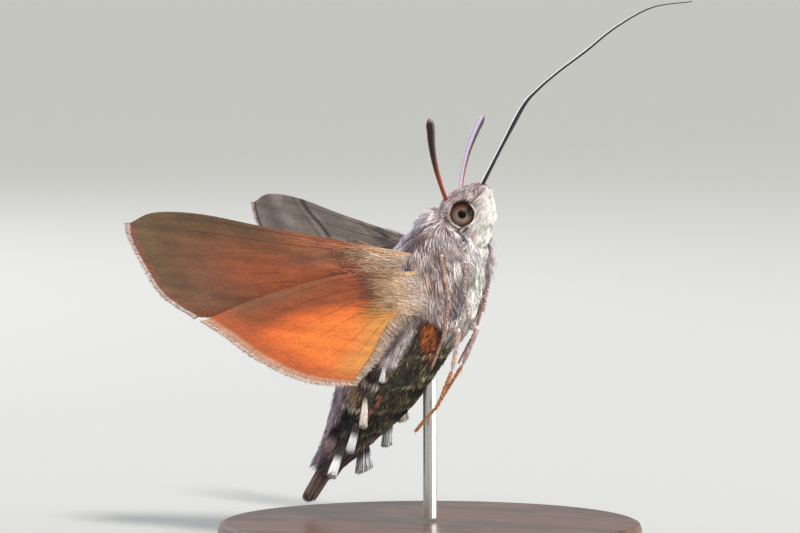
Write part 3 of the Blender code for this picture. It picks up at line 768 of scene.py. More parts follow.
def grow(tufts: Tufts, surface: Surface, u: Array, v: Array, lie: Lie, seed: int, chart: Array,
         keep: Optional[Callable[[Array], Array]] = None) -> None:
    """Grows tufts on a surface, in locks whose tips lean together.

    Args:
        tufts: Takes the tufts.
        surface: What they grow on.
        u: Roots' first coordinates, along the surface.
        v: Roots' second coordinates, round it.
        lie: How they lie.
        seed: Makes the draw repeatable.
        chart: The roots' places on the unwrap.
        keep: Given the points of each tuft, says which tufts stay.
    """
    draw = np.random.default_rng(seed)
    count = len(u)
    girth = surface.girth(u)
    area = max(float(np.ptp(u)) * float(np.mean(girth)) * float(np.ptp(v)), 0.01)
    locks = max(int(area / (lie.lock_size**2 * 0.6)), 3)
    pick = draw.choice(count, min(locks, count), replace=False)
    lock_u, lock_v = u[pick], v[pick]
    owner = np.empty(count, int)
    for start in range(0, count, OWNER_BATCH):
        part = slice(start, start + OWNER_BATCH)
        # A lock is longer than wide
        du = (u[part, None] - lock_u[None]) / 1.5
        dv = (v[part, None] - lock_v[None]) * girth[part, None]
        owner[part] = np.argmin(du**2 + dv**2, axis=1)
    mine = draw.normal(size=(len(pick), 4))[owner]
    length = amount(lie.length, u, v) * varied(draw, mine[:, 0], 0.12, 0.13, 0.5, 1.5)
    turn = amount(lie.turn, u, v) + 0.10 * mine[:, 1] + draw.normal(0, lie.jitter, count)
    rise = amount(lie.rise, u, v) * varied(draw, mine[:, 2], 0.22, 0.2, 0.25, 1.9)
    away = v - lock_v[owner]
    share = np.linspace(0, 1, lie.points)
    line = np.empty((count, lie.points, 3))
    normals = np.empty_like(line)
    side_sign = np.where(v < 0, -1.0, 1.0)
    for step, s in enumerate(share):
        place_u = u + lie.towards * np.cos(turn) * length * s
        drift = np.sin(turn) * side_sign * length * s / girth
        place_v = v + drift - away * lie.lock_pull * s**1.4
        out = surface.normal(place_u, place_v)
        height = rise * np.sin(min(s * 1.25, 1.0) * math.pi / 2)
        line[:, step] = surface.point(place_u, place_v) + out * height[:, None]
        normals[:, step] = out
    tangent = unit(np.gradient(line, axis=1))
    side = unit(np.cross(tangent, normals))
    roll = draw.normal(0, 0.45, count)[:, None, None]
    flat = side * np.cos(roll) + normals * np.sin(roll)
    up = unit(np.cross(flat, tangent))
    profile = np.interp(share, (0, 0.35, 0.8, 1), (0.75, 1.0, 0.62, 0.0))
    width = lie.width * draw.uniform(0.65, 1.35, count)[:, None] * profile[None]
    shade = varied(draw, mine[:, 3], 0.20, 0.13, 0.45, 1.7)
    base = lie.tone(u, v, draw.uniform(0, 1, count)) * shade[:, None]
    # Painted shade: darker towards the root, where the coat's depth shades it; tip_shade lightens the tip
    along = np.interp(share, (0, 0.45, 1), (lie.root_shade, 1.0, lie.tip_shade))
    rows = (line, flat, up, width, np.clip(base[:, None] * along[None, :, None], *TONE_RANGE), chart)
    kept = np.ones(count, bool) if keep is None else keep(line)
    tufts.add(*(row[kept] for row in rows))


def spread_roots(count: int, u_range: Sequence[float], v_range: Sequence[float], seed: int,
                 density: Amount = 1.0) -> tuple[Array, Array, Array]:
    """Spreads roots evenly over a surface's coordinates.

    Args:
        count: How many are tried.
        u_range: Ends of the first coordinate.
        v_range: Ends of the second coordinate.
        seed: Makes the draw repeatable.
        density: The share of roots kept at each place, up to 1.

    Returns:
        The first coordinates, the second coordinates and the places on the unwrap.
    """
    index = np.arange(count)[:, None]
    places = (0.5 + index * EVEN_STEPS) % 1
    u, v = (low + (high - low) * column for (low, high), column in zip((u_range, v_range), places.T))
    kept = np.random.default_rng(seed).uniform(0, 1, count) < amount(density, u, v)
    return u[kept], v[kept], places[kept]


# The skin and its markings


class Side(Enum):
    """A side of the moth, as the sign of its own right direction."""

    LEFT = -1
    RIGHT = 1

    @property
    def word(self) -> str:
        """The side's name as the nodes write it."""
        return self.name.lower()

    @property
    def mirror(self) -> Array:
        """What a place on the right side is multiplied by, to lie on this side."""
        return np.array([1, 1, self.value])


# Forward place, top, level of the widest line, bottom and half width of the solids
SOLID_STATIONS = (
    (9.80, 1.15, 0.75, 0.40, 0.45),
    (9.30, 1.45, 0.70, 0.15, 0.78),
    (8.60, 1.85, 0.65, -0.10, 1.15),
    (7.80, 2.45, 0.65, -0.50, 1.65),
    (7.10, 2.80, 0.65, -1.05, 1.98),
    (6.50, 2.88, 0.60, -1.60, 2.02),
    (5.65, 2.95, 0.35, -2.10, 2.15),
    (4.70, 3.60, 0.10, -2.65, 2.95),
    (3.40, 4.05, -0.10, -3.35, 3.55),
    (1.80, 4.28, -0.20, -4.15, 3.85),
    (0.20, 4.20, -0.30, -4.55, 3.95),
    (-1.40, 3.95, -0.40, -4.65, 3.85),
    (-3.30, 3.55, -0.60, -4.30, 3.55),
    (-5.20, 3.25, -0.90, -4.05, 3.45),
    (-8.10, 2.75, -1.20, -3.80, 3.40),
    (-10.40, 2.10, -1.40, -3.35, 3.20),
    (-12.50, 1.45, -1.40, -2.80, 2.80),
    (-14.70, 0.85, -1.20, -2.25, 2.10),
    (-16.90, 0.50, -0.80, -1.70, 1.25),
)
# Forward place and how deep the coat is there
COAT_DEPTH = ((9.8, 0.12), (6.4, 0.20), (5.2, 0.50), (0.0, 0.58), (-3.0, 0.46), (-4.4, 0.32), (-16.9, 0.30))
# Where the hind edge of each segment of the abdomen lies, on the segment scale
SEGMENT_EDGES = (-5.1, -8.1, -10.6, -13.2, -15.4)


@dataclass
class Skin(Surface):
    """One skin from the face to the tail, under the coat."""

    tail_end: float = -17.1
    nose: float = 9.8
    step: float = 0.2
    sides: int = 80
    # Painted shade: the skin's markings are darkened by this factor, as it lies in shade under the coat
    shade: float = 0.55
    # The chance that body_tone takes, below that of the odd golden hair
    chance: float = 0.4

    def section(self, u: Array) -> Array:
        """Gives top, level, bottom and half width of the skin at forward places."""
        values = between(SOLID_STATIONS, u).copy()
        depth = between(COAT_DEPTH, u)[..., 0]
        values[..., 0] -= depth
        values[..., 2] += depth
        values[..., 3] -= depth
        return values

    def point(self, u: Array, v: Array) -> Array:
        """Gives the place at a forward place and an angle from the back, in radians."""
        values = self.section(u)
        up = np.cos(v)
        height = np.where(up > 0, values[..., 0] - values[..., 1], values[..., 1] - values[..., 2])
        return np.stack([u, values[..., 1] + height * up, values[..., 3] * np.sin(v)], -1)

    def girth(self, u: Array) -> Array:
        """Gives the mean radius at forward places."""
        values = self.section(u)
        return (values[..., 3] + (values[..., 0] - values[..., 2]) / 2) / 2

    def around(self, own: Array) -> Array:
        """Gives the angle from the back, in radians, of places in the body frame."""
        level = self.section(own[..., 0])[..., 1]
        return np.arctan2(own[..., 2], own[..., 1] - level)

    def build(self, material: Material) -> None:
        """Makes the skin with the same markings as the coat, darkened as painted shade under it, and lets it
        stand for the flesh.
        """
        places = np.arange(self.tail_end, self.nose + self.step / 2, self.step)
        angles = np.linspace(-math.pi, math.pi, self.sides, endpoint=False)
        u, v = np.meshgrid(places, angles, indexing="ij")
        bm = loft(BODY.points(self.point(u, v)))
        own = own_places(bm)
        mesh = mesh_of(bm, "skin")
        tone = body_tone(own[:, 0], self.around(own), np.full(len(own), self.chance))
        # Painted shade under the coat
        set_tone(mesh, tone * self.shade)
        add_piece(mesh, material, "thorax_coat", "thorax", "abdomen_front", "abdomen_rear", "tail", "head")


# The edges that a white stripe marks on the flank
STRIPED_EDGES = SEGMENT_EDGES[1:3]
CLUMPS = Waves(11, (0.10, 0.55))
FLECKS = Waves(13, (0.30, 1.30))
# Angle from the back, in degrees, and how far back the long hair of the thorax reaches there
HEM = (
    (0, -3.7), (60, -3.9), (86, -3.9), (96, -3.1), (104, -2.4), (112, -1.7), (122, -1.45),
    (137, -1.35), (150, -1.9), (160, -2.7), (180, -3.1),
)


def from_back(angle: Array) -> Array:
    """Gives the angle from the back on either side, in degrees, from one in radians."""
    return np.degrees(np.abs(angle))


def spot(forward: Array, angle: Array, place: Sequence[float], size: Sequence[float]) -> Array:
    """Is 1 at a place on the body and falls to 0 round it.

    Args:
        forward: Forward places.
        angle: Angles from the back, in degrees.
        place: The spot's forward place and angle.
        size: How far it reaches along and round the body.

    Returns:
        Numbers from 0 to 1.
    """
    away = ((forward - place[0]) / size[0]) ** 2 + ((angle - place[1]) / size[1]) ** 2
    return 1 - ease(away, 0.35, 1.35)


# Angle from the back, in degrees, and how far forward the segments' edges lie there
SLANT = (
    (0, 0), (65, 0), (84, 0.26), (98, 0.5), (111, 0.8), (130, 1.16), (146, 1.5), (160, 1.9), (180, 2.0),
)


def segment_scale(forward: Array, angle: Array) -> Array:
    """Slants the abdomen's edges forward on the underside, as its segments lie."""
    return forward - between(SLANT, angle)[..., 0]


def hem_line(a: Array) -> Array:
    """Gives the forward place where the long hair of the thorax ends, by the angle in degrees."""
    return between(HEM, a)[..., 0]


# The tones take forward places, angles from the back in degrees, and the chance of each hair


def thorax_tone(f: Array, a: Array, chance: Array) -> Array:
    """Colours of the thorax: lilac-grey back, streaked side, cream at the wings, white breast."""
    clump = CLUMPS.at(f, np.radians(a) * 3.9)
    fleck = FLECKS.at(f, np.radians(a) * 3.9)
    edge = between(((5.85, 132), (3.85, 146), (0.9, 160), (-3.0, 168)), f)[..., 0]
    white = ease(a - edge, -6, 5)
    return blend(
        "#cdb9be",
        ("#463640", ease(clump + 0.6 * fleck, 0.35, 0.95) * 0.9),
        ("#fbf2f4", ease(-clump - 0.6 * fleck, 0.0, 0.75) * 0.95),
        ("#d6cadc", (1 - ease(a, 22, 48)) * 0.8),
        ("#eadfe4", spot(f, a, (5.3, 86), (1.4, 26)) * 0.55),
        ("#7b635c", spot(f, a, (4.5, 50), (0.8, 11)) * 0.85),
        ("#6d5a62", spot(f, a, (2.9, 50), (0.8, 7)) * 0.7),
        ("#dcc0a8", spot(f, a, (0.6, 74), (2.8, 24)) * 0.75),
        ("#e4c4a2", spot(f, a, (0.3, 62), (1.9, 12)) * 0.8),
        ("#211a18", spot(f, a, (2.6, 60), (0.35, 5)) * 0.95),
        ("#4a3f46", spot(f, a, (3.7, 128), (1.3, 9)) * 0.9),
        ("#5a4d50", spot(f, a, (1.5, 138), (1.6, 7)) * 0.8),
        ("#e2dedb", white),
        ("#b3ae90", white * ease(-f, -2.6, 1.8) * 0.85),
        ("#8c8a66", spot(f, a, (3.7, 161), (0.9, 7)) * 0.6),
        ("#cdbfca", (1 - ease(f, -2.6, -0.4)) * band(a, 70, 122, 8) * 0.7),
        ("#c79f7c", ease(chance, 0.78, 0.84) * band(a, 55, 140, 12) * 0.5),
    )


def head_tone(f: Array, a: Array) -> Array:
    """Colours of the head: beige crown, dark brow over the eye, white cheek."""
    fleck = FLECKS.at(f * 2.2, np.radians(a) * 4)
    brow_line = np.abs(a - between(((6.6, 62), (7.6, 70), (8.3, 92), (9.5, 86)), f)[..., 0])
    brow = (1 - ease(brow_line, 3, 11)) * band(f, 6.9, 9.0, 0.35)
    return blend(
        "#d0bbbf",
        ("#84696b", ease(fleck, 0.3, 0.9) * 0.8),
        ("#efe4e0", ease(-fleck, 0.2, 0.8) * 0.8),
        ("#4a342f", brow * 0.9),
        ("#d3cfcd", ease(a, 98, 112)),
        ("#d8cdb4", ease(a, 128, 160) * 0.45),
        ("#e6dedb", spot(f, a, (6.2, 84), (0.5, 9)) * 0.8),
        ("#0f0b0d", spot(f, a, (5.95, 105), (0.42, 8))),
    )


def abdomen_tone(f: Array, a: Array, chance: Array) -> Array:
    """Colours of the abdomen: lilac-grey back, dark barred sides with rust, olive-cream belly."""
    q = segment_scale(f, a)
    fleck = FLECKS.at(f, np.radians(a) * 3.2)
    gold = ease(chance + 0.12 * fleck, 0.84, 0.92)
    flank = ease(q, -6.5, -5.8) * (1 - ease(a, 108, 117))
    # The rust patches, the largest of which lies askew
    askew = a + 9 * (f + 2.2)
    rust = spot(f, askew, (-2.2, 136), (1.6, 14)) * (1 - flank)
    rust = np.maximum(rust, spot(f, a, (-8.6, 119), (0.75, 5)) * 0.7)
    rust = np.maximum(rust, spot(f, a, (-10.2, 112), (0.8, 7)) * 0.8)
    back = 1 - ease(a, 48, 72)
    ends = sum(band(q, edge + 0.1, edge + 1.1, 0.35) for edge in SEGMENT_EDGES)
    tone = blend(
        "#231f14",
        ("#131014", 1 - ease(q, -10.9, -10.4)),
        ("#57454a", 1 - ease(q, -14.4, -13.4)),
        ("#a08c50", gold * ease(q, -13.2, -12.0) * band(a, 96, 165, 10) * 0.8),
        # Grey-brown hair behind each edge on the side towards the back
        ("#83706a", band(q, -7.3, -5.0, 0.5) * (1 - ease(a, 98, 116)) * 0.9),
        ("#6f5c57", band(q, -9.2, -8.1, 0.35) * band(a, 76, 100, 8) * 0.9),
        ("#ddd0d2", flank * 0.95),
        ("#6a585e", flank * ease(fleck, 0.35, 0.9) * 0.7),
        ("#4a2012", spot(f, askew, (-2.2, 139), (1.9, 27)) * (1 - flank) * 0.9),
        ("#c4641c", rust * ease(chance, 0.10, 0.40)),
        ("#d8b48e", spot(f, a, (-9.6, 75), (0.9, 15)) * ease(chance, 0.05, 0.3)),
        ("#0d0b10", spot(f, a, (-12.0, 84), (1.6, 24)) * 0.97),
        ("#8a706c", spot(f, a, (-12.9, 84), (0.45, 7)) * 0.7),
        ("#b49a98", spot(f, a, (-14.9, 74), (1.0, 22)) * ease(chance, 0.3, 0.6) * 0.8),
        ("#a3929a", back),
        ("#ddd2e2", back * ease(chance + 0.3 * fleck, 0.35, 0.65) * 0.9),
        ("#aea67c", ease(a, 146, 164) * ends * ease(chance, 0.25, 0.5) * 0.9),
    )
    for edge in SEGMENT_EDGES:
        sunk = band(q, edge + 0.14, edge + 0.46, 0.10) * ease(a, 92, 112)
        pale = band(q, edge - 0.16, edge + 0.04, 0.06) * (0.10 + 0.55 * ease(a, 118, 142))
        tone = blend(tone, ("#0b0908", sunk * (1 - back) * 0.9), ("#cfc493", pale * (1 - back)))
        if edge in STRIPED_EDGES:
            stripe = band(q, edge - 0.30, edge + 0.04, 0.05) * band(a, 58, 104, 6)
            tone = blend(tone, ("#efe2d4", stripe * 0.95))
    return tone


def body_tone(forward: Array, around: Array, chance: Array) -> Array:
    """Gives the colour of the coat and of the skin at places on the body.

    Args:
        forward: Forward places, in millimetres.
        around: Angles from the back, in radians, either side.
        chance: A number from 0 to 1 for each hair, which picks the odd golden one.

    Returns:
        Linear colours.
    """
    a = from_back(around)
    f = np.asarray(forward, float)
    rear = 1 - ease(f - hem_line(a), 0.0, 0.5)
    front = ease(f, 5.6, 6.1)
    tone = thorax_tone(f, a, chance)
    tone = tone * (1 - rear)[..., None] + abdomen_tone(f, a, chance) * rear[..., None]
    return tone * (1 - front)[..., None] + head_tone(f, a) * front[..., None]


# Limbs as tubes


class Tube(Surface):
    """A tube along a smooth line, whose first coordinate is the length along it in millimetres."""

    def __init__(self, points: Sequence[Sequence[float]], sizes: Sequence[Sequence[float]],
                 guide: Sequence[float], samples: int = 200) -> None:
        """Measures the line.

        Args:
            points: Points of the line in the body frame.
            sizes: Share along the line, half height and half width.
            guide: Which way the height leans.
            samples: How finely the line is measured.
        """
        self.line = along_curve(points, np.linspace(0, 1, samples))
        steps = np.linalg.norm(np.diff(self.line, axis=0), axis=1)
        self.lengths = np.append(0, np.cumsum(steps))
        self.total = float(self.lengths[-1])
        self.sizes = sizes
        self.tangent, self.up, self.across = frames_along(self.line, guide)

    def read(self, rows: Array, u: Array) -> Array:
        """Reads rows kept along the line at lengths along it."""
        place = np.clip(u, 0, self.total)
        return np.stack([np.interp(place, self.lengths, rows[:, i]) for i in range(3)], -1)

    def size(self, u: Array) -> Array:
        """Gives half height and half width at lengths along the line."""
        return between(self.sizes, np.clip(u, 0, self.total) / self.total)

    def spokes(self, u: Array, v: Array, size: Array) -> tuple[Array, Array]:
        """Gives the parts up and across of the way out at two coordinates, scaled by a size."""
        rise = self.read(self.up, u) * (size[..., 0] * np.cos(v))[..., None]
        return rise, self.read(self.across, u) * (size[..., 1] * np.sin(v))[..., None]

    def point(self, u: Array, v: Array) -> Array:
        """Gives the place at a length along the tube and an angle round it."""
        beyond = (u - np.clip(u, 0, self.total))[..., None]
        centre = self.read(self.line, u) + self.read(self.tangent, u) * beyond
        rise, aside = self.spokes(u, v, self.size(u))
        return centre + rise + aside

    def normal(self, u: Array, v: Array) -> Array:
        """Gives the outward direction there."""
        rise, aside = self.spokes(u, v, self.size(u)[..., ::-1])
        return unit(rise + aside)

    def girth(self, u: Array) -> Array:
        """Gives the mean radius at lengths along the tube."""
        return np.maximum(self.size(u).mean(axis=-1), 0.05)

    def shell(self, rings: int, sides: int,
              swell: Optional[Callable[[Array], Array]] = None) -> tuple[BMesh, Array, Array]:
        """Lofts the tube.

        Args:
            rings: Rings along it.
            sides: Sides round it.
            swell: Scales the section at shares along it.

        Returns:
            The mesh and each ring vertex's two coordinates.
        """
        lengths = np.linspace(0, self.total, rings)
        turns = np.linspace(0, 2 * math.pi, sides, endpoint=False)
        u, v = np.meshgrid(lengths, turns, indexing="ij")
        place = self.point(u, v)
        if swell is not None:
            centre = self.read(self.line, u)
            place = centre + (place - centre) * swell(u / self.total)[..., None]
        return loft(BODY.points(place)), u.ravel(), v.ravel()


def joined_tubes(name: str, parts: Sequence[tuple[BMesh, Array]]) -> Mesh:
    """Joins tubes into one mesh with their colours.

    Args:
        name: The mesh's name.
        parts: Meshes, each with linear colours for its vertices. The last colour is also that of
            the vertices beyond, which close the tube's ends.

    Returns:
        The mesh.
    """
    joined = bmesh.new()
    tones = []
    for bm, tone in parts:
        beyond = len(bm.verts) - len(tone)
        tones += [tone, np.repeat(tone[-1:], beyond, axis=0)]
        mesh = mesh_of(bm, "part")
        joined.from_mesh(mesh)
        bpy.data.meshes.remove(mesh)
    mesh = mesh_of(joined, name)
    set_tone(mesh, np.concatenate(tones))
    return mesh


@dataclass(frozen=True)
class Palp:
    """One of the two furry palps under the face."""

    side: Side
    points: tuple = (
        (6.70, -1.22), (7.30, -0.94), (7.98, -0.60), (8.58, -0.20), (8.98, 0.06), (9.28, 0.28),
    )
    sizes: tuple = (
        (0.0, 0.14, 0.26), (0.2, 0.40, 0.42), (0.4, 0.50, 0.45), (0.6, 0.42, 0.40),
        (0.8, 0.28, 0.28), (1.0, 0.08, 0.10),
    )
    right: float = 0.48
    count: int = 3200
    seed: int = 31
    # Painted shade: the core's colour is darkened by this factor, as it lies under its coat
    skin_shade: float = 0.8

    @staticmethod
    def tone(own: Array) -> Array:
        """White, yellowish at its upper front edge."""
        return blend("#e0dbd6", ("#d2c2a4", ease(own[:, 0] - 0.4 * own[:, 1], 8.9, 9.6) * 0.5))

    def build(self, coat: Material) -> None:
        """Makes the palp and its coat."""
        line = [(f, d, self.side.value * self.right) for f, d in self.points]
        tube = Tube(line, self.sizes, (-0.5, 1, 0))
        bm, _, _ = tube.shell(24, 18)
        name = f"palp_{self.side.word}"
        core = joined_tubes(f"{name}_core", [(bm, self.tone(own_places(bm)) * self.skin_shade)])
        add_piece(core, coat, "pale_coat", name)
        lie = Lie(
            length=lambda u, v: 0.62 - 0.35 * ease(u / tube.total, 0.55, 1.0),
            rise=lambda u, v: 0.09 - 0.04 * ease(u / tube.total, 0.6, 1.0),
            tone=lambda u, v, chance: self.tone(tube.point(u, v)),
            width=0.018, lock_size=0.40, lock_pull=0.05, jitter=0.08, towards=1.0,
            root_shade=0.88, tip_shade=1.04,
        )
        u, v, chart = spread_roots(self.count, (0.0, tube.total * 0.97), (0, 2 * math.pi), self.seed)
        tufts = Tufts(f"{name}_coat", coat)
        grow(tufts, tube, u, v, lie, self.seed, chart)
        tufts.build("pale_coat")


@dataclass(frozen=True)
class Eye:
    """A compound eye."""

    side: Side
    centre: Place = (7.05, 0.62, 1.32)
    radius: float = 1.04
    # Where the black false pupil, the dark patch and the palest part lie, as directions in the body frame.
    # The palest part lies below the middle, so the top of the iris is darker, as painted shade under the
    # brow
    pupil: Place = (0.30, -0.30, 0.90)
    patch: Place = (0.72, -0.59, 0.36)
    pale: Place = (0.0, -0.34, 0.93)
    fineness: int = 5
    rim_count: int = 900
    rim_seed: int = 41

    def build(self) -> None:
        """Makes the eye."""
        name = f"eye_{self.side.word}"
        centre = BODY.points(self.centre * self.side.mirror)
        ways = (unit(way * self.side.mirror) @ BODY.axes() for way in (self.pupil, self.patch, self.pale))
        finish = EyeFinish(f"compound_{name}", tuple(centre), *(tuple(way) for way in ways))
        bm = bmesh.new()
        place = Matrix.Translation(centre)
        bmesh.ops.create_icosphere(bm, subdivisions=self.fineness, radius=self.radius * MM, matrix=place)
        add_piece(mesh_of(bm, f"{name}_ball"), finish.build(), "eye", name)

    @staticmethod
    def rim_tone(turn: Array) -> Array:
        """Colours the scales round the eye: dark above, rust behind, white below and before.

        Args:
            turn: Angles round the eye from forward towards the back, in degrees.

        Returns:
            Linear colours.
        """
        return blend(
            "#dcd3d1",
            ("#2a1713", band(turn, -12, 85, 10)),
            ("#c3aaa8", band(turn, 95, 150, 12) * 0.9),
            ("#120d0f", band(turn, 200, 222, 5) * 0.95),
        )

    def fringe(self, coat: Material) -> None:
        """Grows the short scales that lap over the eye's edge."""
        draw = np.random.default_rng(self.rim_seed)
        count = self.rim_count
        turn = draw.uniform(-60, 300, count)
        angle = np.radians(turn)[:, None]
        axis = unit(np.array(self.pupil))
        above = unit(np.cross(axis, (1, 0, 0)))
        before = np.cross(above, axis)
        ring = before * np.cos(angle) + above * np.sin(angle)
        swirl = above * np.cos(angle) - before * np.sin(angle)
        over = band(turn, -20, 90, 20)
        share = np.linspace(0, 1, 4)[None, :, None]
        outer = (1.20 + draw.uniform(-0.12, 0.14, count))[:, None, None]
        inner = (0.95 - 0.05 * over + draw.uniform(-0.03, 0.05, count))[:, None, None]
        radius = outer + (inner - outer) * share
        lean = draw.normal(0.12, 0.14, count)[:, None, None] * share
        high = 0.05 + (0.50 + 0.12 * over[:, None, None]) * share**0.8
        line = np.array(self.centre) + ring[:, None] * radius + swirl[:, None] * lean
        line = (line + axis * high) * self.side.mirror
        tangent = unit(np.gradient(line, axis=1))
        out = unit(line - self.centre * self.side.mirror)
        side = unit(np.cross(tangent, out))
        up = unit(np.cross(side, tangent))
        width = 0.022 * draw.uniform(0.7, 1.3, count)[:, None] * np.array([0.9, 1.0, 0.7, 0.0])[None]
        # Painted shade: each scale is darker towards its root
        along = np.array([0.5, 0.85, 1.05, 1.1])[None, :, None]
        shade = along * draw.uniform(0.75, 1.2, count)[:, None, None]
        tone = np.clip(self.rim_tone(turn)[:, None] * shade, *TONE_RANGE)
        chart = np.stack([(turn + 60) / 360, draw.uniform(0, 1, count)], 1)
        tufts = Tufts(f"eye_rim_{self.side.word}", coat)
        tufts.add(line, side, up, width, tone, chart)
        tufts.build("head_coat")


@dataclass(frozen=True)
class Antenna:
    """A clubbed feeler of many rings, scaled pale on its back and dark beneath."""

    side: Side
    root: Place = (6.85, 2.15, 1.05)
    reach: Place = (5.98, 3.74, 3.85)
    bow: float = 0.45
    hook: float = 0.55
    hook_start: float = 0.88
    pale_turn: float = 0.93
    sizes: tuple = (
        (0.0, 0.16, 0.16), (0.3, 0.20, 0.19), (0.6, 0.27, 0.26), (0.82, 0.33, 0.32),
        (0.93, 0.31, 0.30), (0.98, 0.17, 0.16), (1.0, 0.05, 0.05),
    )
    segments: int = 54
    rings: int = 330
    sides: int = 16

    def tube(self) -> Tube:
        """Gives the feeler's surface."""
        points = []
        for s in np.linspace(0, 1, 14):
            bow = self.bow * math.sin(math.pi * s)
            hook = self.hook * max(s - self.hook_start, 0.0) / (1 - self.hook_start)
            place = np.array(self.root) + np.array(self.reach) * s + [-0.3 * bow, bow, 0.4 * hook]
            points.append(place * self.side.mirror)
        return Tube(points, self.sizes, (-0.5, 0.8, -0.2 * self.side.value))

    def groove(self, share: Array) -> Array:
        """Is 1 between two rings of the feeler and 0 on a ring's crest."""
        return 0.5 + 0.5 * np.cos(share * self.segments * 2 * math.pi)

    def tone(self, share: Array, v: Array) -> Array:
        """Colours the feeler at shares along it and angles round it."""
        base = blend(
            "#8f340f",
            ("#1b0b07", ease(share + 0.15 * np.sin(v), 0.25, 0.70) * 0.95),
            ("#c4b6d2", ease(np.cos(v + self.side.value * self.pale_turn), 0.1, 0.5) * 0.95),
        )
        base = base * (1 - 0.55 * self.groove(share)[:, None] ** 2)
        return blend(base, ("#b09078", ease(share, 0.95, 0.985) * 0.4))

    def build(self, material: Material) -> None:
        """Makes the feeler."""
        tube = self.tube()
        bm, u, v = tube.shell(self.rings, self.sides, lambda share: 1 - 0.13 * self.groove(share) ** 2)
        name = f"antenna_{self.side.word}"
        mesh = joined_tubes(f"{name}_feeler", [(bm, self.tone(u / tube.total, v))])
        add_piece(mesh, material, "feeler", name)


@dataclass(frozen=True)
class Proboscis:
    """The long tongue: two galeae that lie side by side and part a little in one place."""

    points: tuple = (
        (9.20, 0.98), (13.40, 1.36), (16.90, 1.60), (18.70, 1.30), (20.90, 0.62), (23.60, -0.40),
        (26.60, -1.45), (29.60, -3.10), (31.90, -5.60),
    )
    sizes: tuple = (
        (0.0, 0.17, 0.115), (0.2, 0.14, 0.095), (0.25, 0.165, 0.11), (0.30, 0.13, 0.09), (0.6, 0.10, 0.075),
        (1.0, 0.06, 0.05),
    )
    part: float = 0.078
    gap: float = 0.08
    rings: int = 420
    sides: int = 12
    ridges: int = 150

    def tube(self, side: Side) -> Tube:
        """Gives one galea's surface."""
        shares = np.linspace(0, 1, len(self.points))
        opened = self.part * np.interp(shares, (0, 0.6, 1), (1.2, 0.95, 0.55))
        opened = opened + self.gap * np.exp(-(((shares - 0.28) / 0.10) ** 2))
        line = [(f, d, side.value * o) for (f, d), o in zip(self.points, opened)]
        return Tube(line, self.sizes, (0, 1, 0), samples=400)

    def build(self, material: Material) -> None:
        """Makes both galeae as one piece: black, duller beneath, with a painted highlight along the outer
        edge.
        """
        parts = []
        for side in Side:
            tube = self.tube(side)
            bm, u, v = tube.shell(
                self.rings, self.sides, lambda s: 1 - 0.05 * np.cos(s * self.ridges * 2 * math.pi) ** 2
            )
            out = tube.normal(u, v) * side.mirror
            # Painted highlight: a near-white line along each galea's outer edge
            stripe = ease(out[:, 2] + 0.65 * out[:, 1], 1.02, 1.09)
            tone = blend("#050404", ("#8a7a70", ease(-out[:, 1], 0.86, 0.98) * 0.5), ("#eceaf2", stripe))
            parts.append((bm, tone))
        mesh = joined_tubes("proboscis_galeae", parts)
        add_piece(mesh, material, "proboscis", "proboscis_base", "proboscis_middle", "proboscis_tip")


# Wings


WING_ROOT = np.array([2.2, 2.6, 3.45])
WING_SPAN = unit(np.array([-0.423, 0.800, 0.4275]))
WING_CHORD = unit(np.array([-0.858, -0.5055, 0.096]))
WING_LENGTH = 21.7
LEFT_WING_RAISE = math.radians(8)
STREAKS = Waves(21, (0.05, 0.75), 12)
MOTTLE = Waves(22, (0.22, 0.30), 12)
Paint = Callable[[Array, Array, Array, Array], Array]


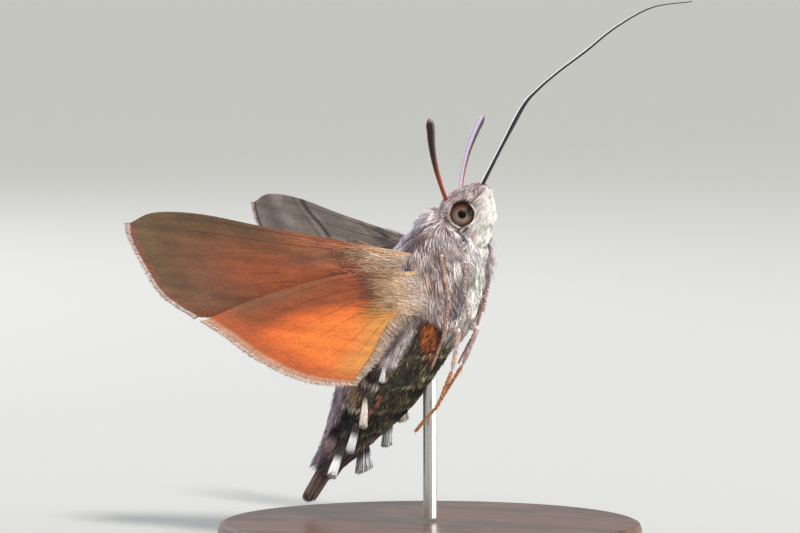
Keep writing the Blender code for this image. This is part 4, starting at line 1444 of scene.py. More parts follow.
@dataclass
class Wing(Surface):
    """A wing: a thin membrane between its edges, with veins, rows of scales and a fringe.

    The edges are places along the span and across it, in millimetres. The costa is the front
    edge, the margin the outer edge and the inner edge the hind one. The paint functions take the
    shares along and across the wing and the place on it.
    """

    kind: str
    side: Side
    costa: Sequence[Pair]
    margin: Sequence[Pair]
    inner: Sequence[Pair]
    veins: Sequence[Pair]
    drop: float
    under: Paint
    upper: Paint
    fringe: tuple[str, str]
    hair_tones: tuple[str, str]
    fur_tone: str
    hair: Pair
    thickness: float = 0.10
    columns: int = 124
    rows: int = 70
    vein_steps: int = 60
    vein_sides: int = 8
    fringe_length: float = 0.42
    fringe_counts: tuple[int, int] = (760, 700)
    fur_count: int = 950
    seed: int = 51

    def __post_init__(self) -> None:
        """Beats the wing: the left ones are raised a little more than the right ones."""
        raised = LEFT_WING_RAISE if self.side is Side.LEFT else 0.0
        c, s = math.cos(raised), math.sin(raised)
        beat = np.array([[1, 0, 0], [0, c, s], [0, -s, c]])
        self.name = f"{self.kind}_{self.side.word}"
        self.span, self.chord = beat @ WING_SPAN, beat @ WING_CHORD
        self.out = np.cross(self.span, self.chord)

    def flat(self, across: Array, along: Array) -> Array:
        """Blends the edges: across runs from the costa to the inner edge, along from the root out."""
        s, t = along[..., None], across[..., None]
        (front, tip), (hind, corner) = (np.array(edge)[[0, -1]] for edge in (self.costa, self.inner))
        lengthwise = (1 - t) * along_curve(self.costa, along) + t * along_curve(self.inner, along)
        crosswise = (1 - s) * (front + (hind - front) * t) + s * along_curve(self.margin, across)
        both = (1 - t) * ((1 - s) * front + s * tip) + t * ((1 - s) * hind + s * corner)
        return lengthwise + crosswise - both

    def point(self, u: Array, v: Array) -> Array:
        """Gives the place at a distance along the span and one across it."""
        share = u / WING_LENGTH
        lift = self.drop + 0.7 * (share**2 - 0.6 * share) * (1 + 0.05 * v)
        place = WING_ROOT + u[..., None] * self.span + v[..., None] * self.chord + lift[..., None] * self.out
        return place * self.side.mirror

    def normal(self, u: Array, v: Array) -> Array:
        """Gives the direction out of the underside."""
        return np.broadcast_to(self.out * self.side.mirror, (*np.shape(u), 3)).copy()

    def build(self, material: Material, coat: Material) -> None:
        """Makes the membrane, its veins, its fringe and the fur at its root."""
        parts = [self.membrane(), *(self.vein(place, start) for place, start in self.veins)]
        starts = np.cumsum([0] + [len(part[0]) for part in parts])
        faces = np.concatenate([part[1] + start for part, start in zip(parts, starts)])
        verts, tones, charts = (np.concatenate([part[i] for part in parts]) for i in (0, 2, 3))
        mesh = bpy.data.meshes.new(f"{self.name}_membrane")
        mesh.from_pydata(BODY.points(verts).tolist(), [], faces.tolist())
        set_tone(mesh, tones)
        layer = mesh.uv_layers.new(name="WingChart")
        layer.data.foreach_set("uv", charts[faces.ravel()].astype(np.float32).ravel())
        bm = bmesh.new()
        bm.from_mesh(mesh)
        bmesh.ops.recalc_face_normals(bm, faces=bm.faces)
        bm.to_mesh(mesh)
        bm.free()
        add_piece(mesh, material, self.kind, self.name)
        self.grow_fringe(coat)
        self.grow_fur(coat)

    def membrane(self) -> tuple[Array, ...]:
        """Makes the thin sheet, closed round its rim.

        Returns:
            Vertices, faces, colours and chart places.
        """
        along = np.linspace(0, 1, self.columns) ** 0.9
        s, t = np.meshgrid(along, np.linspace(0, 1, self.rows), indexing="ij")
        flat = self.flat(t, s)
        x, y = flat[..., 0], flat[..., 1]
        middle, out = self.point(x, y), self.normal(x, y)
        edge = np.minimum.reduce([t, 1 - t, 1 - s]) * 14
        half = (self.thickness / 2 * (0.35 + 0.65 * np.clip(edge, 0, 1)))[..., None]
        verts = np.concatenate([(middle + out * half * sign).reshape(-1, 3) for sign in (1, -1)])
        tones = np.concatenate([paint(s, t, x, y).reshape(-1, 3) for paint in (self.under, self.upper)])
        charts = np.tile(flat.reshape(-1, 2) / WING_CHART_MM, (2, 1))
        grid = np.arange(s.size).reshape(s.shape)
        corners = (grid[:-1, :-1], grid[1:, :-1], grid[1:, 1:], grid[:-1, 1:])
        quads = np.stack([corner.ravel() for corner in corners], 1)
        rim = np.concatenate([grid[:-1, 0], grid[-1, :-1], grid[:0:-1, -1], grid[0, :0:-1]])
        after = np.roll(rim, -1)
        sides = np.stack([rim, rim + s.size, after + s.size, after], 1)
        return verts, np.concatenate([quads, quads[:, ::-1] + s.size, sides]), tones, charts

    def vein(self, place: float, start: float) -> tuple[Array, ...]:
        """Makes one vein as a tapering tube through the membrane.

        Args:
            place: Where it lies between the costa and the inner edge.
            start: Where it starts along the wing.

        Returns:
            Vertices, faces, colours and chart places.
        """
        s = np.linspace(start, 0.985, self.vein_steps)
        t = np.full(len(s), place) + 0.012 * np.sin(s * 9 + place * 20)
        flat = self.flat(t, s)
        x, y = flat[:, 0], flat[:, 1]
        centre = self.point(x, y)
        out = self.normal(x, y)
        cross = unit(np.cross(unit(np.gradient(centre, axis=0)), out))
        radius = (0.105 * (1 - 0.55 * s))[:, None, None]
        turn = np.linspace(0, 2 * math.pi, self.vein_sides, endpoint=False)[None, :, None]
        ring = cross[:, None] * np.cos(turn) * 1.2 + out[:, None] * np.sin(turn) * 0.95
        ring = centre[:, None] + radius * ring
        grid = np.arange(len(s) * self.vein_sides).reshape(len(s), self.vein_sides)
        near, far = grid[:-1], grid[1:]
        quads = np.stack([near, far, np.roll(far, -1, 1), np.roll(near, -1, 1)], -1).reshape(-1, 4)
        facing = ease(np.sin(turn[..., 0]), -0.2, 0.2)[..., None]
        under, upper = (paint(s, t, x, y)[:, None] * 0.80 for paint in (self.under, self.upper))
        tone = under * facing + upper * (1 - facing)
        chart = np.repeat(flat / WING_CHART_MM, self.vein_sides, axis=0)
        return ring.reshape(-1, 3), quads, tone.reshape(-1, 3), chart

    def grow_fringe(self, coat: Material) -> None:
        """Grows the fringe of flat scales that stands out from the outer margin and the inner edge."""
        draw = np.random.default_rng(self.seed)
        tufts = Tufts(f"{self.name}_fringe", coat, BLADE_THICKNESS)
        reaches = ((self.fringe_length, self.fringe_length), self.hair)
        runs = zip((False, True), self.fringe_counts, reaches, (self.fringe, self.hair_tones))
        for inner, count, reach, tones in runs:
            p = np.clip((np.arange(count) + draw.uniform(-0.4, 0.4, count)) / count, 0.0, 1.0)
            across, along = (np.full(count, 0.992), p) if inner else (p, np.full(count, 0.995))
            flat = self.flat(across, along)
            inside = self.flat(np.clip(across, 0, 0.93), np.clip(along, 0, 0.93))
            way = unit(flat - self.flat(across * 0.5 + 0.25, along * 0.92) + (flat - inside) * 3)
            way = way + np.array([0.25, 0.1]) * draw.normal(0, 0.5, (count, 1))
            length = np.interp(p, (0, 1), reach) * draw.uniform(0.7, 1.15, count)
            share = np.linspace(0, 1, 4)
            places = flat[:, None] + way[:, None] * (length[:, None] * share)[..., None]
            line = self.point(places[..., 0], places[..., 1])
            out = self.normal(places[..., 0], places[..., 1])
            line = line + out * draw.normal(0, 0.03, count)[:, None, None] * (1 + share[None, :, None])
            aside = unit(np.cross(unit(np.gradient(line, axis=1)), out))
            width = 0.030 * draw.uniform(0.8, 1.3, count)[:, None] * np.array([0.8, 1.1, 0.9, 0.0])[None]
            dark, pale = (linear(code) for code in tones)
            mix = np.array([0.25, 0.75, 1.0, 1.0])[None, :, None]
            tone = (dark * (1 - mix) + pale * mix) * draw.uniform(0.8, 1.15, count)[:, None, None]
            tufts.add(line, aside, out, width, np.clip(tone, *TONE_RANGE), np.stack([along, across], 1))
        tufts.build(self.kind)

    def grow_fur(self, coat: Material) -> None:
        """Grows the soft hair of the root, which runs out over both faces and back over the body."""
        tufts = Tufts(f"{self.name}_fur", coat)
        for number, (sign, paint) in enumerate(((1, self.under), (-1, self.upper))):
            face = WingFace(self, sign)
            s, t, chart = spread_roots(
                self.fur_count, (0.0, 0.34), (0.01, 0.99), self.seed + number,
                lambda s, t: 1 - ease(s, 0.10, 0.34),
            )
            flat = self.flat(t, s)
            fur = Lie(
                length=lambda u, v: 2.0 - 0.10 * u,
                turn=0.15,
                rise=lambda u, v: 0.12 - 0.012 * np.clip(u, 0, 6),
                tone=lambda u, v, chance, s=s, t=t, paint=paint: blend(
                    paint(s, t, u, v), (self.fur_tone, (1 - ease(s + 0.14 * chance, 0.02, 0.24)) * 0.85)
                ),
                width=0.018, lock_size=0.6, lock_pull=0.05, jitter=0.06, towards=1.0,
            )
            grow(tufts, face, flat[:, 0], flat[:, 1], fur, self.seed + number, chart)
            # The hair that lies back over the body hides where the wing leaves it
            s, t, chart = spread_roots(
                self.fur_count, (0.0, 0.28), (0.10, 0.99), self.seed + 7,
                lambda s, t: 1 - ease(s, 0.10, 0.28),
            )
            flat = self.flat(t, s)
            back = Lie(
                length=lambda u, v: 1.6 + 0.25 * u,
                turn=0.12,
                rise=0.16,
                tone=lambda u, v, chance, s=s: blend(
                    self.fur_tone, ("#decdc8", 1 - ease(s + 0.10 * chance, 0.06, 0.26))
                ),
                width=0.020, lock_size=0.6, lock_pull=0.3,
            )
            grow(tufts, face, flat[:, 0], flat[:, 1], back, self.seed + 9, chart)
        tufts.build(self.kind)


@dataclass
class WingFace(Surface):
    """One face of a wing: the underside or the upper side."""

    wing: Wing
    sign: int

    def point(self, u: Array, v: Array) -> Array:
        """Gives the place on the face."""
        return self.wing.point(u, v) + self.normal(u, v) * self.wing.thickness / 2

    def normal(self, u: Array, v: Array) -> Array:
        """Gives the face's outward direction."""
        return self.wing.normal(u, v) * self.sign


# The paint functions take shares along and across the wing, then places on it in millimetres


def wing_streaks(tone: Array, x: Array, y: Array, depth: float) -> Array:
    """Varies a wing's colours in fine streaks along it and in soft patches."""
    change = 1 + depth * STREAKS.at(x, y) + 0.6 * depth * MOTTLE.at(x, y)
    return tone * change[..., None]


def forewing_under(s: Array, t: Array, x: Array, y: Array) -> Array:
    """The forewing from below: olive brown at the front and the tip, rust in the middle."""
    tone = blend(
        "#7e3d1f",
        ("#62422f", ease(s, 0.50, 0.85) * 0.9),
        ("#4c3a25", (1 - ease(t, 0.10, 0.55)) * ease(s, 0.14, 0.50) * 0.9),
        ("#5a4630", ease(s, 0.74, 0.97) * (1 - ease(t, 0.35, 0.9)) * 0.8),
        ("#9c6244", (1 - ease(s, 0.20, 0.42)) * band(t, 0.05, 0.5, 0.1) * 0.7),
        ("#4c342a", band(t - 0.5 * s, 0.16, 0.26, 0.06) * (1 - ease(s, 0.34, 0.52)) * 0.6),
        ("#7a3f20", ease(t, 0.80, 0.98) * ease(s, 0.25, 0.4) * 0.8),
        ("#d2ae84", (1 - ease(s, 0.04, 0.20)) * 0.9),
        ("#c08850", (1 - ease(s, 0.10, 0.34)) * ease(t, 0.62, 0.9) * 0.8),
        ("#6a4434", ease(s, 0.955, 0.975)),
    )
    return wing_streaks(tone, x, y, 0.13)


def forewing_upper(s: Array, t: Array, x: Array, y: Array) -> Array:
    """The forewing from above: grey brown with dark wavy cross-lines and a small dark dot."""
    wave = 0.012 * np.sin(t * 14)
    lines = ((0.235, 0.016, 0.85), (0.30, 0.008, 0.55), (0.565, 0.014, 0.9), (0.62, 0.007, 0.5))
    tone = blend(
        "#7c706a",
        ("#948781", ease(MOTTLE.at(x, y), 0.1, 0.9) * 0.5),
        ("#5f5550", 1 - ease(s, 0.05, 0.16)),
    )
    for place, width, depth in lines:
        bend = place + wave + 0.05 * (t - 0.5) ** 2 - 0.05 * t
        tone = blend(tone, ("#342c2a", band(s, bend - width, bend + width, 0.008) * depth))
    away = ((x - 9.3) / 0.30) ** 2 + ((y - 1.3) / 0.30) ** 2
    tone = blend(
        tone,
        ("#5a504c", band(s, 0.80, 0.93, 0.04) * 0.6),
        ("#2a2322", (1 - ease(away, 0.5, 1.3)) * 0.9),
        ("#4a403c", ease(s, 0.965, 0.985)),
    )
    return wing_streaks(tone, x, y, 0.10)


def hindwing_under(s: Array, t: Array, x: Array, y: Array) -> Array:
    """The hindwing from below: dark rust at its front, painted for the forewing over it and its shadow,
    bright orange, yellow at its root and inner edge.
    """
    # Where the dark rust at the front ends, by the share along the wing; in front of it lies painted shadow
    # of the forewing
    front = ((0.0, 0.60), (0.40, 0.47), (0.52, 0.40), (0.65, 0.32), (0.80, 0.31), (1.0, 0.38))
    shade_line = between(front, s)[..., 0]
    tone = blend(
        "#bb5622",
        ("#d06c2b", band(s, 0.50, 0.85, 0.12) * band(t, 0.45, 0.85, 0.12) * 0.9),
        ("#ba823e", (1 - ease(s, 0.30, 0.68)) * ease(t, 0.45, 0.80) * 0.9),
        ("#bd8544", ease(t, 0.72, 0.98) * 0.8),
        # Painted shadow of the forewing, in dark rust
        ("#7c3c1e", 1 - ease(t - shade_line, -0.06, 0.10)),
        ("#70452e", (1 - ease(t, 0.04, 0.26)) * ease(s, 0.35, 0.80)),
        ("#ccab82", (1 - ease(s, 0.06, 0.26)) * 0.85),
        ("#a04e28", ease(s, 0.80, 0.95) * 0.8),
        ("#a87e68", ease(s, 0.955, 0.978)),
    )
    return wing_streaks(tone, x, y, 0.08)


def hindwing_upper(s: Array, t: Array, x: Array, y: Array) -> Array:
    """The hindwing from above: orange with a brown margin and a dusky root."""
    tone = blend(
        "#c8672f",
        ("#5c4233", 1 - ease(s, 0.10, 0.30)),
        ("#6a4431", ease(s, 0.84, 0.95)),
        ("#86604a", 1 - ease(t, 0.0, 0.12)),
    )
    return wing_streaks(tone, x, y, 0.08)


def make_wings(side: Side) -> list[Wing]:
    """Describes the two wings of one side."""
    forewing = Wing(
        kind="forewing",
        side=side,
        costa=((-1.8, 0.2), (4.9, -0.35), (11.3, -0.85), (16.2, -1.30), (19.8, -1.05), (21.7, 0.0)),
        margin=((21.7, 0.0), (21.2, 1.55), (18.9, 4.8), (17.3, 6.0), (15.6, 6.8)),
        inner=((-1.2, 2.3), (2.3, 3.5), (6.1, 5.2), (10.8, 6.4), (15.6, 6.8)),
        veins=((0.07, 0.0), (0.22, 0.0), (0.36, 0.42), (0.49, 0.46), (0.62, 0.44), (0.74, 0.0), (0.90, 0.0)),
        drop=0.0,
        under=forewing_under,
        upper=forewing_upper,
        fringe=("#7a4a3a", "#d2bdb6"),
        hair_tones=("#7a4427", "#8a5232"),
        fur_tone="#d0ae92",
        hair=(0.35, 0.15),
    )
    hindwing = Wing(
        kind="hindwing",
        side=side,
        costa=((-1.4, 1.5), (2.0, 1.9), (5.4, 2.6), (11.0, 4.9), (15.0, 7.1)),
        margin=((15.0, 7.1), (13.0, 8.1), (10.3, 9.6), (6.6, 10.8), (2.8, 10.9)),
        inner=((-1.2, 3.7), (0.5, 5.9), (1.5, 8.5), (2.8, 10.9)),
        veins=((0.08, 0.0), (0.26, 0.0), (0.44, 0.42), (0.60, 0.42), (0.76, 0.0), (0.91, 0.0)),
        drop=1.05,
        under=hindwing_under,
        upper=hindwing_upper,
        fringe=("#9a5a3c", "#dcc0b2"),
        hair_tones=("#b58650", "#b39c8c"),
        fur_tone="#d3b394",
        hair=(1.5, 0.5),
    )
    return [forewing, hindwing]


# Legs


KNEE_FORE = ((3.5, -1.9, 1.7), (5.0, -0.4, 3.05))
KNEE_HIND = ((-1.2, -3.0, 1.6), (-0.6, -4.55, 1.75))
MIDLEG = ((2.6, -1.9, 2.3), (4.1, -0.5, 3.75), (1.4, -3.0, 3.4), (-1.4, -4.1, 2.95), (-4.2, -4.5, 2.5))
LEG_LINES = {
    Side.RIGHT: {
        "foreleg": (*KNEE_FORE, (4.45, -2.25, 2.6), (2.4, -3.5, 2.55), (0.75, -4.55, 1.85)),
        "midleg": MIDLEG,
        "hindleg": (*KNEE_HIND, (-3.6, -5.75, 1.6), (-6.5, -6.3, 1.6), (-9.6, -5.95, 1.6)),
    },
    Side.LEFT: {
        "foreleg": (*KNEE_FORE, (4.45, -2.1, 2.6), (2.4, -3.1, 2.55), (0.75, -4.15, 1.85)),
        "midleg": MIDLEG,
        "hindleg": (*KNEE_HIND, (-3.9, -5.0, 2.1), (-7.8, -4.9, 2.4), (-11.1, -4.4, 2.7)),
    },
}
# Scales of the thigh and shin, then base, pale and dark tones of the foot, and its rings' spacing
LEG_TONES = {
    "foreleg": ("#b59a8e", "#a88c82", "#ecdfd8", "#2b1e1a", 0.17),
    "midleg": ("#ad8b7c", "#a37c6a", "#d9bcaa", "#4a2e24", 0.17),
    "hindleg": ("#c2b4ba", "#b86c34", "#e0a468", "#5e3420", 0.22),
}


@dataclass(frozen=True)
class Leg:
    """A leg: thigh and shin in flat scales, a finely ringed foot of five segments, spurs and claws."""

    kind: str
    side: Side
    thigh: tuple = ((0.0, 0.26, 0.22), (0.5, 0.28, 0.25), (1.0, 0.18, 0.18))
    shin: tuple = ((0.0, 0.13, 0.13), (0.35, 0.15, 0.14), (0.8, 0.14, 0.13), (1.0, 0.11, 0.11))
    foot: tuple = ((0.0, 0.14, 0.13), (0.5, 0.125, 0.115), (1.0, 0.08, 0.08))
    # Count, length and rise of the scales of each part
    scales: tuple = ((420, 0.40, 0.05), (380, 0.32, 0.03), (420, 0.12, 0.02))
    sides: int = 14
    rings: int = 28
    foot_rings: int = 250
    segments: int = 5
    spines: int = 90
    spine_tone: str = "#c8713a"
    seed: int = 71

    def tubes(self) -> list[Tube]:
        """Gives the thigh, the shin and the foot."""
        root, knee, ankle, toe, end = np.array(LEG_LINES[self.side][self.kind]) * self.side.mirror
        guide = (0.2, 0.3, self.side.value)
        ankle_bend = ankle + (toe - knee) * 0.02
        return [
            Tube([root, (root + knee) / 2, knee], self.thigh, guide),
            Tube([knee, (knee + ankle) / 2, ankle], self.shin, guide),
            Tube([ankle_bend, (ankle + toe) / 2, toe, (toe + end) / 2, end], self.foot, guide),
        ]

    def ring(self, u: Array) -> Array:
        """Is 1 in the groove between two rings of the foot and 0 on a ring's crest."""
        return 0.5 + 0.5 * np.cos(u / LEG_TONES[self.kind][4] * 2 * math.pi)

    def joint(self, share: Array) -> Array:
        """Is 1 where two segments of the foot meet."""
        place = (share * self.segments) % 1
        return 1 - ease(np.minimum(place, 1 - place), 0.02, 0.10)

    def swell(self, share: Array, total: float) -> Array:
        """Shapes the foot's rings and segments at shares along its total length."""
        return 1 - 0.10 * self.ring(share * total) - 0.14 * self.joint(share)

    def paint(self, tube: Tube, foot: bool, u: Array, v: Array) -> Array:
        """Colours one part of the leg.

        Args:
            tube: The part.
            foot: Whether it is the foot.
            u: Lengths along it.
            v: Angles round it.

        Returns:
            Linear colours.
        """
        scaled, base, pale, dark, _ = LEG_TONES[self.kind]
        if foot:
            crest, groove = (1 - self.ring(u)) ** 2, self.ring(u) ** 2
            joint = self.joint(u / tube.total)
            return blend(base, (pale, crest * 0.7), (dark, groove * 0.8), (dark, joint * 0.5))
        own = tube.point(u, v)
        fleck = FLECKS.at(own[:, 0] * 2, own[:, 1] * 2)
        return blend(scaled, (pale, ease(fleck, 0.1, 0.9) * 0.6), (dark, ease(-fleck, 0.5, 1.1) * 0.5))

    def build(self, cuticle: Material, coat: Material) -> None:
        """Makes the leg and its scales, spurs and claws."""
        name = f"{self.kind}_{self.side.word}"
        tubes = self.tubes()
        tufts = Tufts(f"{name}_scales", coat)
        seed = self.seed + 7 * list(LEG_TONES).index(self.kind)
        parts = []
        for number, (tube, (count, reach, rise)) in enumerate(zip(tubes, self.scales)):
            foot = number == 2
            if foot:
                bm, u, v = tube.shell(self.foot_rings, self.sides, lambda s: self.swell(s, tubes[-1].total))
            else:
                bm, u, v = tube.shell(self.rings, self.sides)
            parts.append((bm, self.paint(tube, foot, u, v)))
            last = tube.total - reach * 0.8
            u, v, chart = spread_roots(count, (0.0, last), (0, 2 * math.pi), seed + number)
            lie = Lie(
                length=lambda u, v, reach=reach, total=tube.total: (
                    reach * (1 - 0.6 * ease(u / total, 0.6, 0.95))
                ),
                rise=rise,
                tone=lambda u, v, chance, tube=tube, foot=foot: self.paint(tube, foot, u, v),
                width=0.024, lock_size=0.4, lock_pull=0.1, towards=1.0, root_shade=0.6, tip_shade=1.1,
            )
            grow(tufts, tube, u, v, lie, seed + number, chart)
        add_piece(joined_tubes(f"{name}_limb", parts), cuticle, "leg", name)
        self.grow_spines(tufts, tubes[-1], seed)
        tufts.build("leg")

    def grow_spines(self, tufts: Tufts, tube: Tube, seed: int) -> None:
        """Adds the foot's rows of spines, two spurs at the end of the shin and the two claws."""
        draw = np.random.default_rng(seed)
        u = draw.uniform(0.05, 0.97, self.spines) * tube.total
        v = draw.choice([0.9, 2.2, 3.1, 4.0, 5.4], self.spines) + draw.normal(0, 0.12, self.spines)
        length = np.append(np.full(self.spines, 0.20), [0.75, 0.6, 0.28, 0.28])
        thick = np.append(np.full(self.spines, 0.015), [0.035, 0.03, 0.035, 0.035])
        u = np.append(u, np.array([0.02, 0.03, 1.0, 1.0]) * tube.total)
        v = np.append(v, [2.2, 4.0, 1.1, 5.2])
        share = np.linspace(0, 1, 4)
        place = tube.point(u, v)
        out = tube.normal(u, v)
        lean = unit(tube.read(tube.tangent, u) * 0.8 + out * 0.55)
        line = place[:, None] + lean[:, None] * (length[:, None] * share)[..., None]
        line = line - out[:, None] * (0.1 * length[:, None] * share**2)[..., None]
        side = unit(np.cross(lean, out))
        up = unit(np.cross(side, lean))
        width = thick[:, None] * np.array([1.0, 0.8, 0.5, 0.0])[None]
        tone = np.broadcast_to(linear(self.spine_tone), line.shape)
        side, up = (way[:, None].repeat(4, 1) for way in (side, up))
        tufts.add(line, side, up, width, tone, np.stack([u / tube.total, v % 6.28 / 6.28], 1))


# Side tufts and tail brush


@dataclass(frozen=True)
class Brush:
    """A brush of flat scales: root and tip, half width and half depth at each, and its tones.

    The root and the tip are those of the right side.
    """

    name: str
    root: Place
    tip: Place
    width: Pair
    depth: Pair
    count: int
    blade: float
    dark: str
    pale: str
    pale_from: float
    uneven: float
    seed: int

    def build(self, material: Material, slot: str, *sides: Side) -> None:
        """Makes the brush on the sides named."""
        tufts = Tufts(self.name, material, BLADE_THICKNESS)
        for side in sides:
            self.grow(tufts, side)
        tufts.build(slot)

    def grow(self, tufts: Tufts, side: Side) -> None:
        """Grows blades with rounded, uneven ends on one side."""
        draw = np.random.default_rng(self.seed)
        root, tip = self.root * side.mirror, self.tip * side.mirror
        axis = unit(tip - root)
        outward = unit(np.cross(axis, [0.3, 1.0, 0.0]))
        up = np.cross(outward, axis)
        count = self.count
        angle = draw.uniform(0, 2 * math.pi, count)
        radius = np.sqrt(draw.uniform(0, 1, count))
        a, b = radius * np.cos(angle), radius * np.sin(angle)
        start, end = (
            place + outward * (a * width)[:, None] + up * (b * depth)[:, None]
            for place, width, depth in zip((root, tip), self.width, self.depth)
        )
        reach = (1 - 0.05 * radius**2) * draw.uniform(1 - self.uneven, 1.0, count)
        share = np.array([0, 0.3, 0.6, 0.94, 1.0])
        line = start[:, None] + (end - start)[:, None] * (reach[:, None] * share)[..., None]
        sway = outward * draw.normal(0, 0.05, (count, 1)) + up * draw.normal(0, 0.05, (count, 1))
        line = line + sway[:, None] * (share**2)[None, :, None]
        tangent = unit(np.gradient(line, axis=1))
        roll = draw.normal(0, 0.5, count)[:, None, None]
        flat = unit(np.cross(tangent, np.broadcast_to(up, tangent.shape)))
        flat = flat * np.cos(roll) + up * np.sin(roll)
        lift = unit(np.cross(flat, tangent))
        profile = np.array([0.5, 0.85, 1.0, 0.9, 0.0])[None]
        width = self.blade * draw.uniform(0.6, 1.25, count)[:, None] * profile
        shade = draw.uniform(0.55, 1.2, count)[:, None, None]
        pale = ease(share, self.pale_from - 0.06, self.pale_from + 0.10)[None, :, None]
        pale = pale * draw.uniform(0.9, 1.0, count)[:, None, None]
        tone = linear(self.dark) * (1 - pale) * shade + linear(self.pale) * pale
        chart = np.stack([(a + 1) / 2, (b + 1) / 2], 1)
        tufts.add(line, flat, lift, width, np.clip(tone, *BLADE_TONE_RANGE), chart)


# The coat


@dataclass
class Coat:
    """The hair-scales of the body, grown on the skin in pieces that share one flow."""

    skin: Skin
    material: Material
    eye_gap: float = 0.01
    eye_view: float = 0.98
    # How far hairs keep from the middle of the thigh, the shin and the foot
    leg_room: tuple[float, float, float] = (0.28, 0.20, 0.15)

    def clear(self, line: Array) -> Array:
        """Says which tufts keep clear of the legs and the eyes."""
        kept = np.ones(len(line), bool)
        for side in Side:
            away = line - Eye.centre * side.mirror
            kept &= (np.linalg.norm(away, axis=-1) > Eye.radius + self.eye_gap).all(axis=1)
            ahead = away @ unit(Eye.pupil * side.mirror)
            beside = np.sqrt(np.maximum((away**2).sum(-1) - ahead**2, 0))
            kept &= ~((ahead > 0) & (beside < Eye.radius * self.eye_view)).any(axis=1)
            for kind in LEG_TONES:
                for tube, room in zip(Leg(kind, side).tubes(), self.leg_room):
                    spine = tube.line[::16]
                    for step in range(1, line.shape[1]):
                        gap = np.linalg.norm(line[:, step, None] - spine[None], axis=-1).min(axis=1)
                        kept &= gap > room
        return kept

    def before_hem(self, line: Array) -> Array:
        """Says which tufts end before the hem of the thorax and clear of the legs."""
        tip = line[:, -1]
        return self.clear(line) & (tip[:, 0] > hem_line(from_back(self.skin.around(tip))))

    def behind_hem(self, line: Array) -> Array:
        """Says which tufts start near or behind the hem of the thorax."""
        root = line[:, 0]
        return self.clear(line) & (root[:, 0] < hem_line(from_back(self.skin.around(root))) + 0.7)

    def build(self) -> None:
        """Grows every piece."""
        thorax = Lie(
            length=lambda u, v: 1.2 + 0.95 * band(from_back(v), 55, 125, 16) - 0.3 * ease(u, 3.6, 5.6)
            - 0.45 * (1 - ease(u, -2.8, -0.5)),
            turn=lambda u, v: 0.55 * band(from_back(v), 40, 135, 22)
            + 0.30 * CLUMPS.at(u * 1.3, np.abs(v) * 3.9) * (1 - 0.8 * ease(from_back(v), 135, 155)),
            rise=lambda u, v: (0.46 + 0.16 * CLUMPS.at(u + 3, np.abs(v) * 3.9))
            * (1 - 0.55 * ease(from_back(v), 130, 155)),
            tone=body_tone, width=0.032, lock_size=0.62, lock_pull=0.85, root_shade=0.26, tip_shade=1.3,
        )
        collar = Lie(
            length=lambda u, v: 1.3 + 0.5 * band(from_back(v), 40, 90, 15),
            turn=lambda u, v: 0.45 * band(from_back(v), 25, 110, 20)
            + 0.35 * CLUMPS.at(u * 1.6, np.abs(v) * 6),
            rise=0.62,
            tone=body_tone, width=0.032, lock_size=0.6, lock_pull=0.85, root_shade=0.32, tip_shade=1.3,
        )
        abdomen = Lie(
            length=lambda u, v: 0.75 + 0.35 * (1 - ease(from_back(v), 35, 65))
            + 0.1 * band(from_back(v), 100, 135, 12)
            + 0.55 * ease(u, -6.2, -5.2) * (1 - ease(from_back(v), 104, 114)),
            turn=lambda u, v: 0.15 * CLUMPS.at(u, np.abs(v) * 3.2),
            rise=lambda u, v: 0.18 + 0.16 * (1 - ease(from_back(v), 35, 65)),
            tone=lambda u, v, chance: abdomen_tone(u, from_back(v), chance),
            width=0.036, lock_size=0.45, lock_pull=0.35, root_shade=0.55, tip_shade=1.15,
        )
        head = Lie(
            length=lambda u, v: 0.46 + 0.28 * (1 - ease(from_back(v), 66, 82))
            - 0.08 * ease(u, 8.0, 9.5),
            turn=lambda u, v: 0.5 * CLUMPS.at(u * 2.4, np.abs(v) * 6) * (1 - ease(from_back(v), 66, 82)),
            rise=lambda u, v: 0.12 + 0.12 * (1 - ease(from_back(v), 66, 82)),
            tone=body_tone, width=0.022, lock_size=0.34, lock_pull=0.7, root_shade=0.42, tip_shade=1.25,
        )
        cheek = Lie(
            length=lambda u, v: np.minimum(1.05 - 0.45 * ease(u, 8.2, 9.6), 9.62 - u),
            turn=0.45,
            rise=lambda u, v: 0.24 + 0.10 * band(from_back(v), 95, 130, 12) - 0.12 * ease(u, 8.0, 9.2),
            tone=body_tone, width=0.021, lock_size=0.4, lock_pull=0.12, jitter=0.08, towards=1.0,
            root_shade=0.8, tip_shade=1.05,
        )
        half, full = 1.7, math.pi
        # Name, slot, how many tufts are tried, ends along and round the body, lie, seed, which tufts stay
        pieces = (
            ("thorax_coat", "thorax_coat", 30000, (-3.6, 5.7), (-full, full), thorax, 101, self.before_hem),
            ("collar_coat", "thorax_coat", 4500, (4.7, 6.3), (-2.3, 2.3), collar, 103, self.clear),
            ("abdomen_coat", "abdomen_coat", 25000, (-17.0, -0.9), (-full, full), abdomen, 105,
             self.behind_hem),
            ("head_coat", "head_coat", 9000, (5.5, 9.75), (-1.75, 1.75), head, 107, self.clear),
            ("cheek_coat_right", "head_coat", 3500, (5.2, 9.5), (half, full), cheek, 109, self.clear),
            ("cheek_coat_left", "head_coat", 3500, (5.2, 9.5), (-half, -full), cheek, 109, self.clear),
        )
        for name, slot, count, u_range, v_range, lie, seed, keep in pieces:
            tufts = Tufts(name, self.material)
            u, v, chart = spread_roots(count, u_range, v_range, seed)
            grow(tufts, self.skin, u, v, lie, seed + 1, chart, keep)
            tufts.build(slot)
        self.bristles()

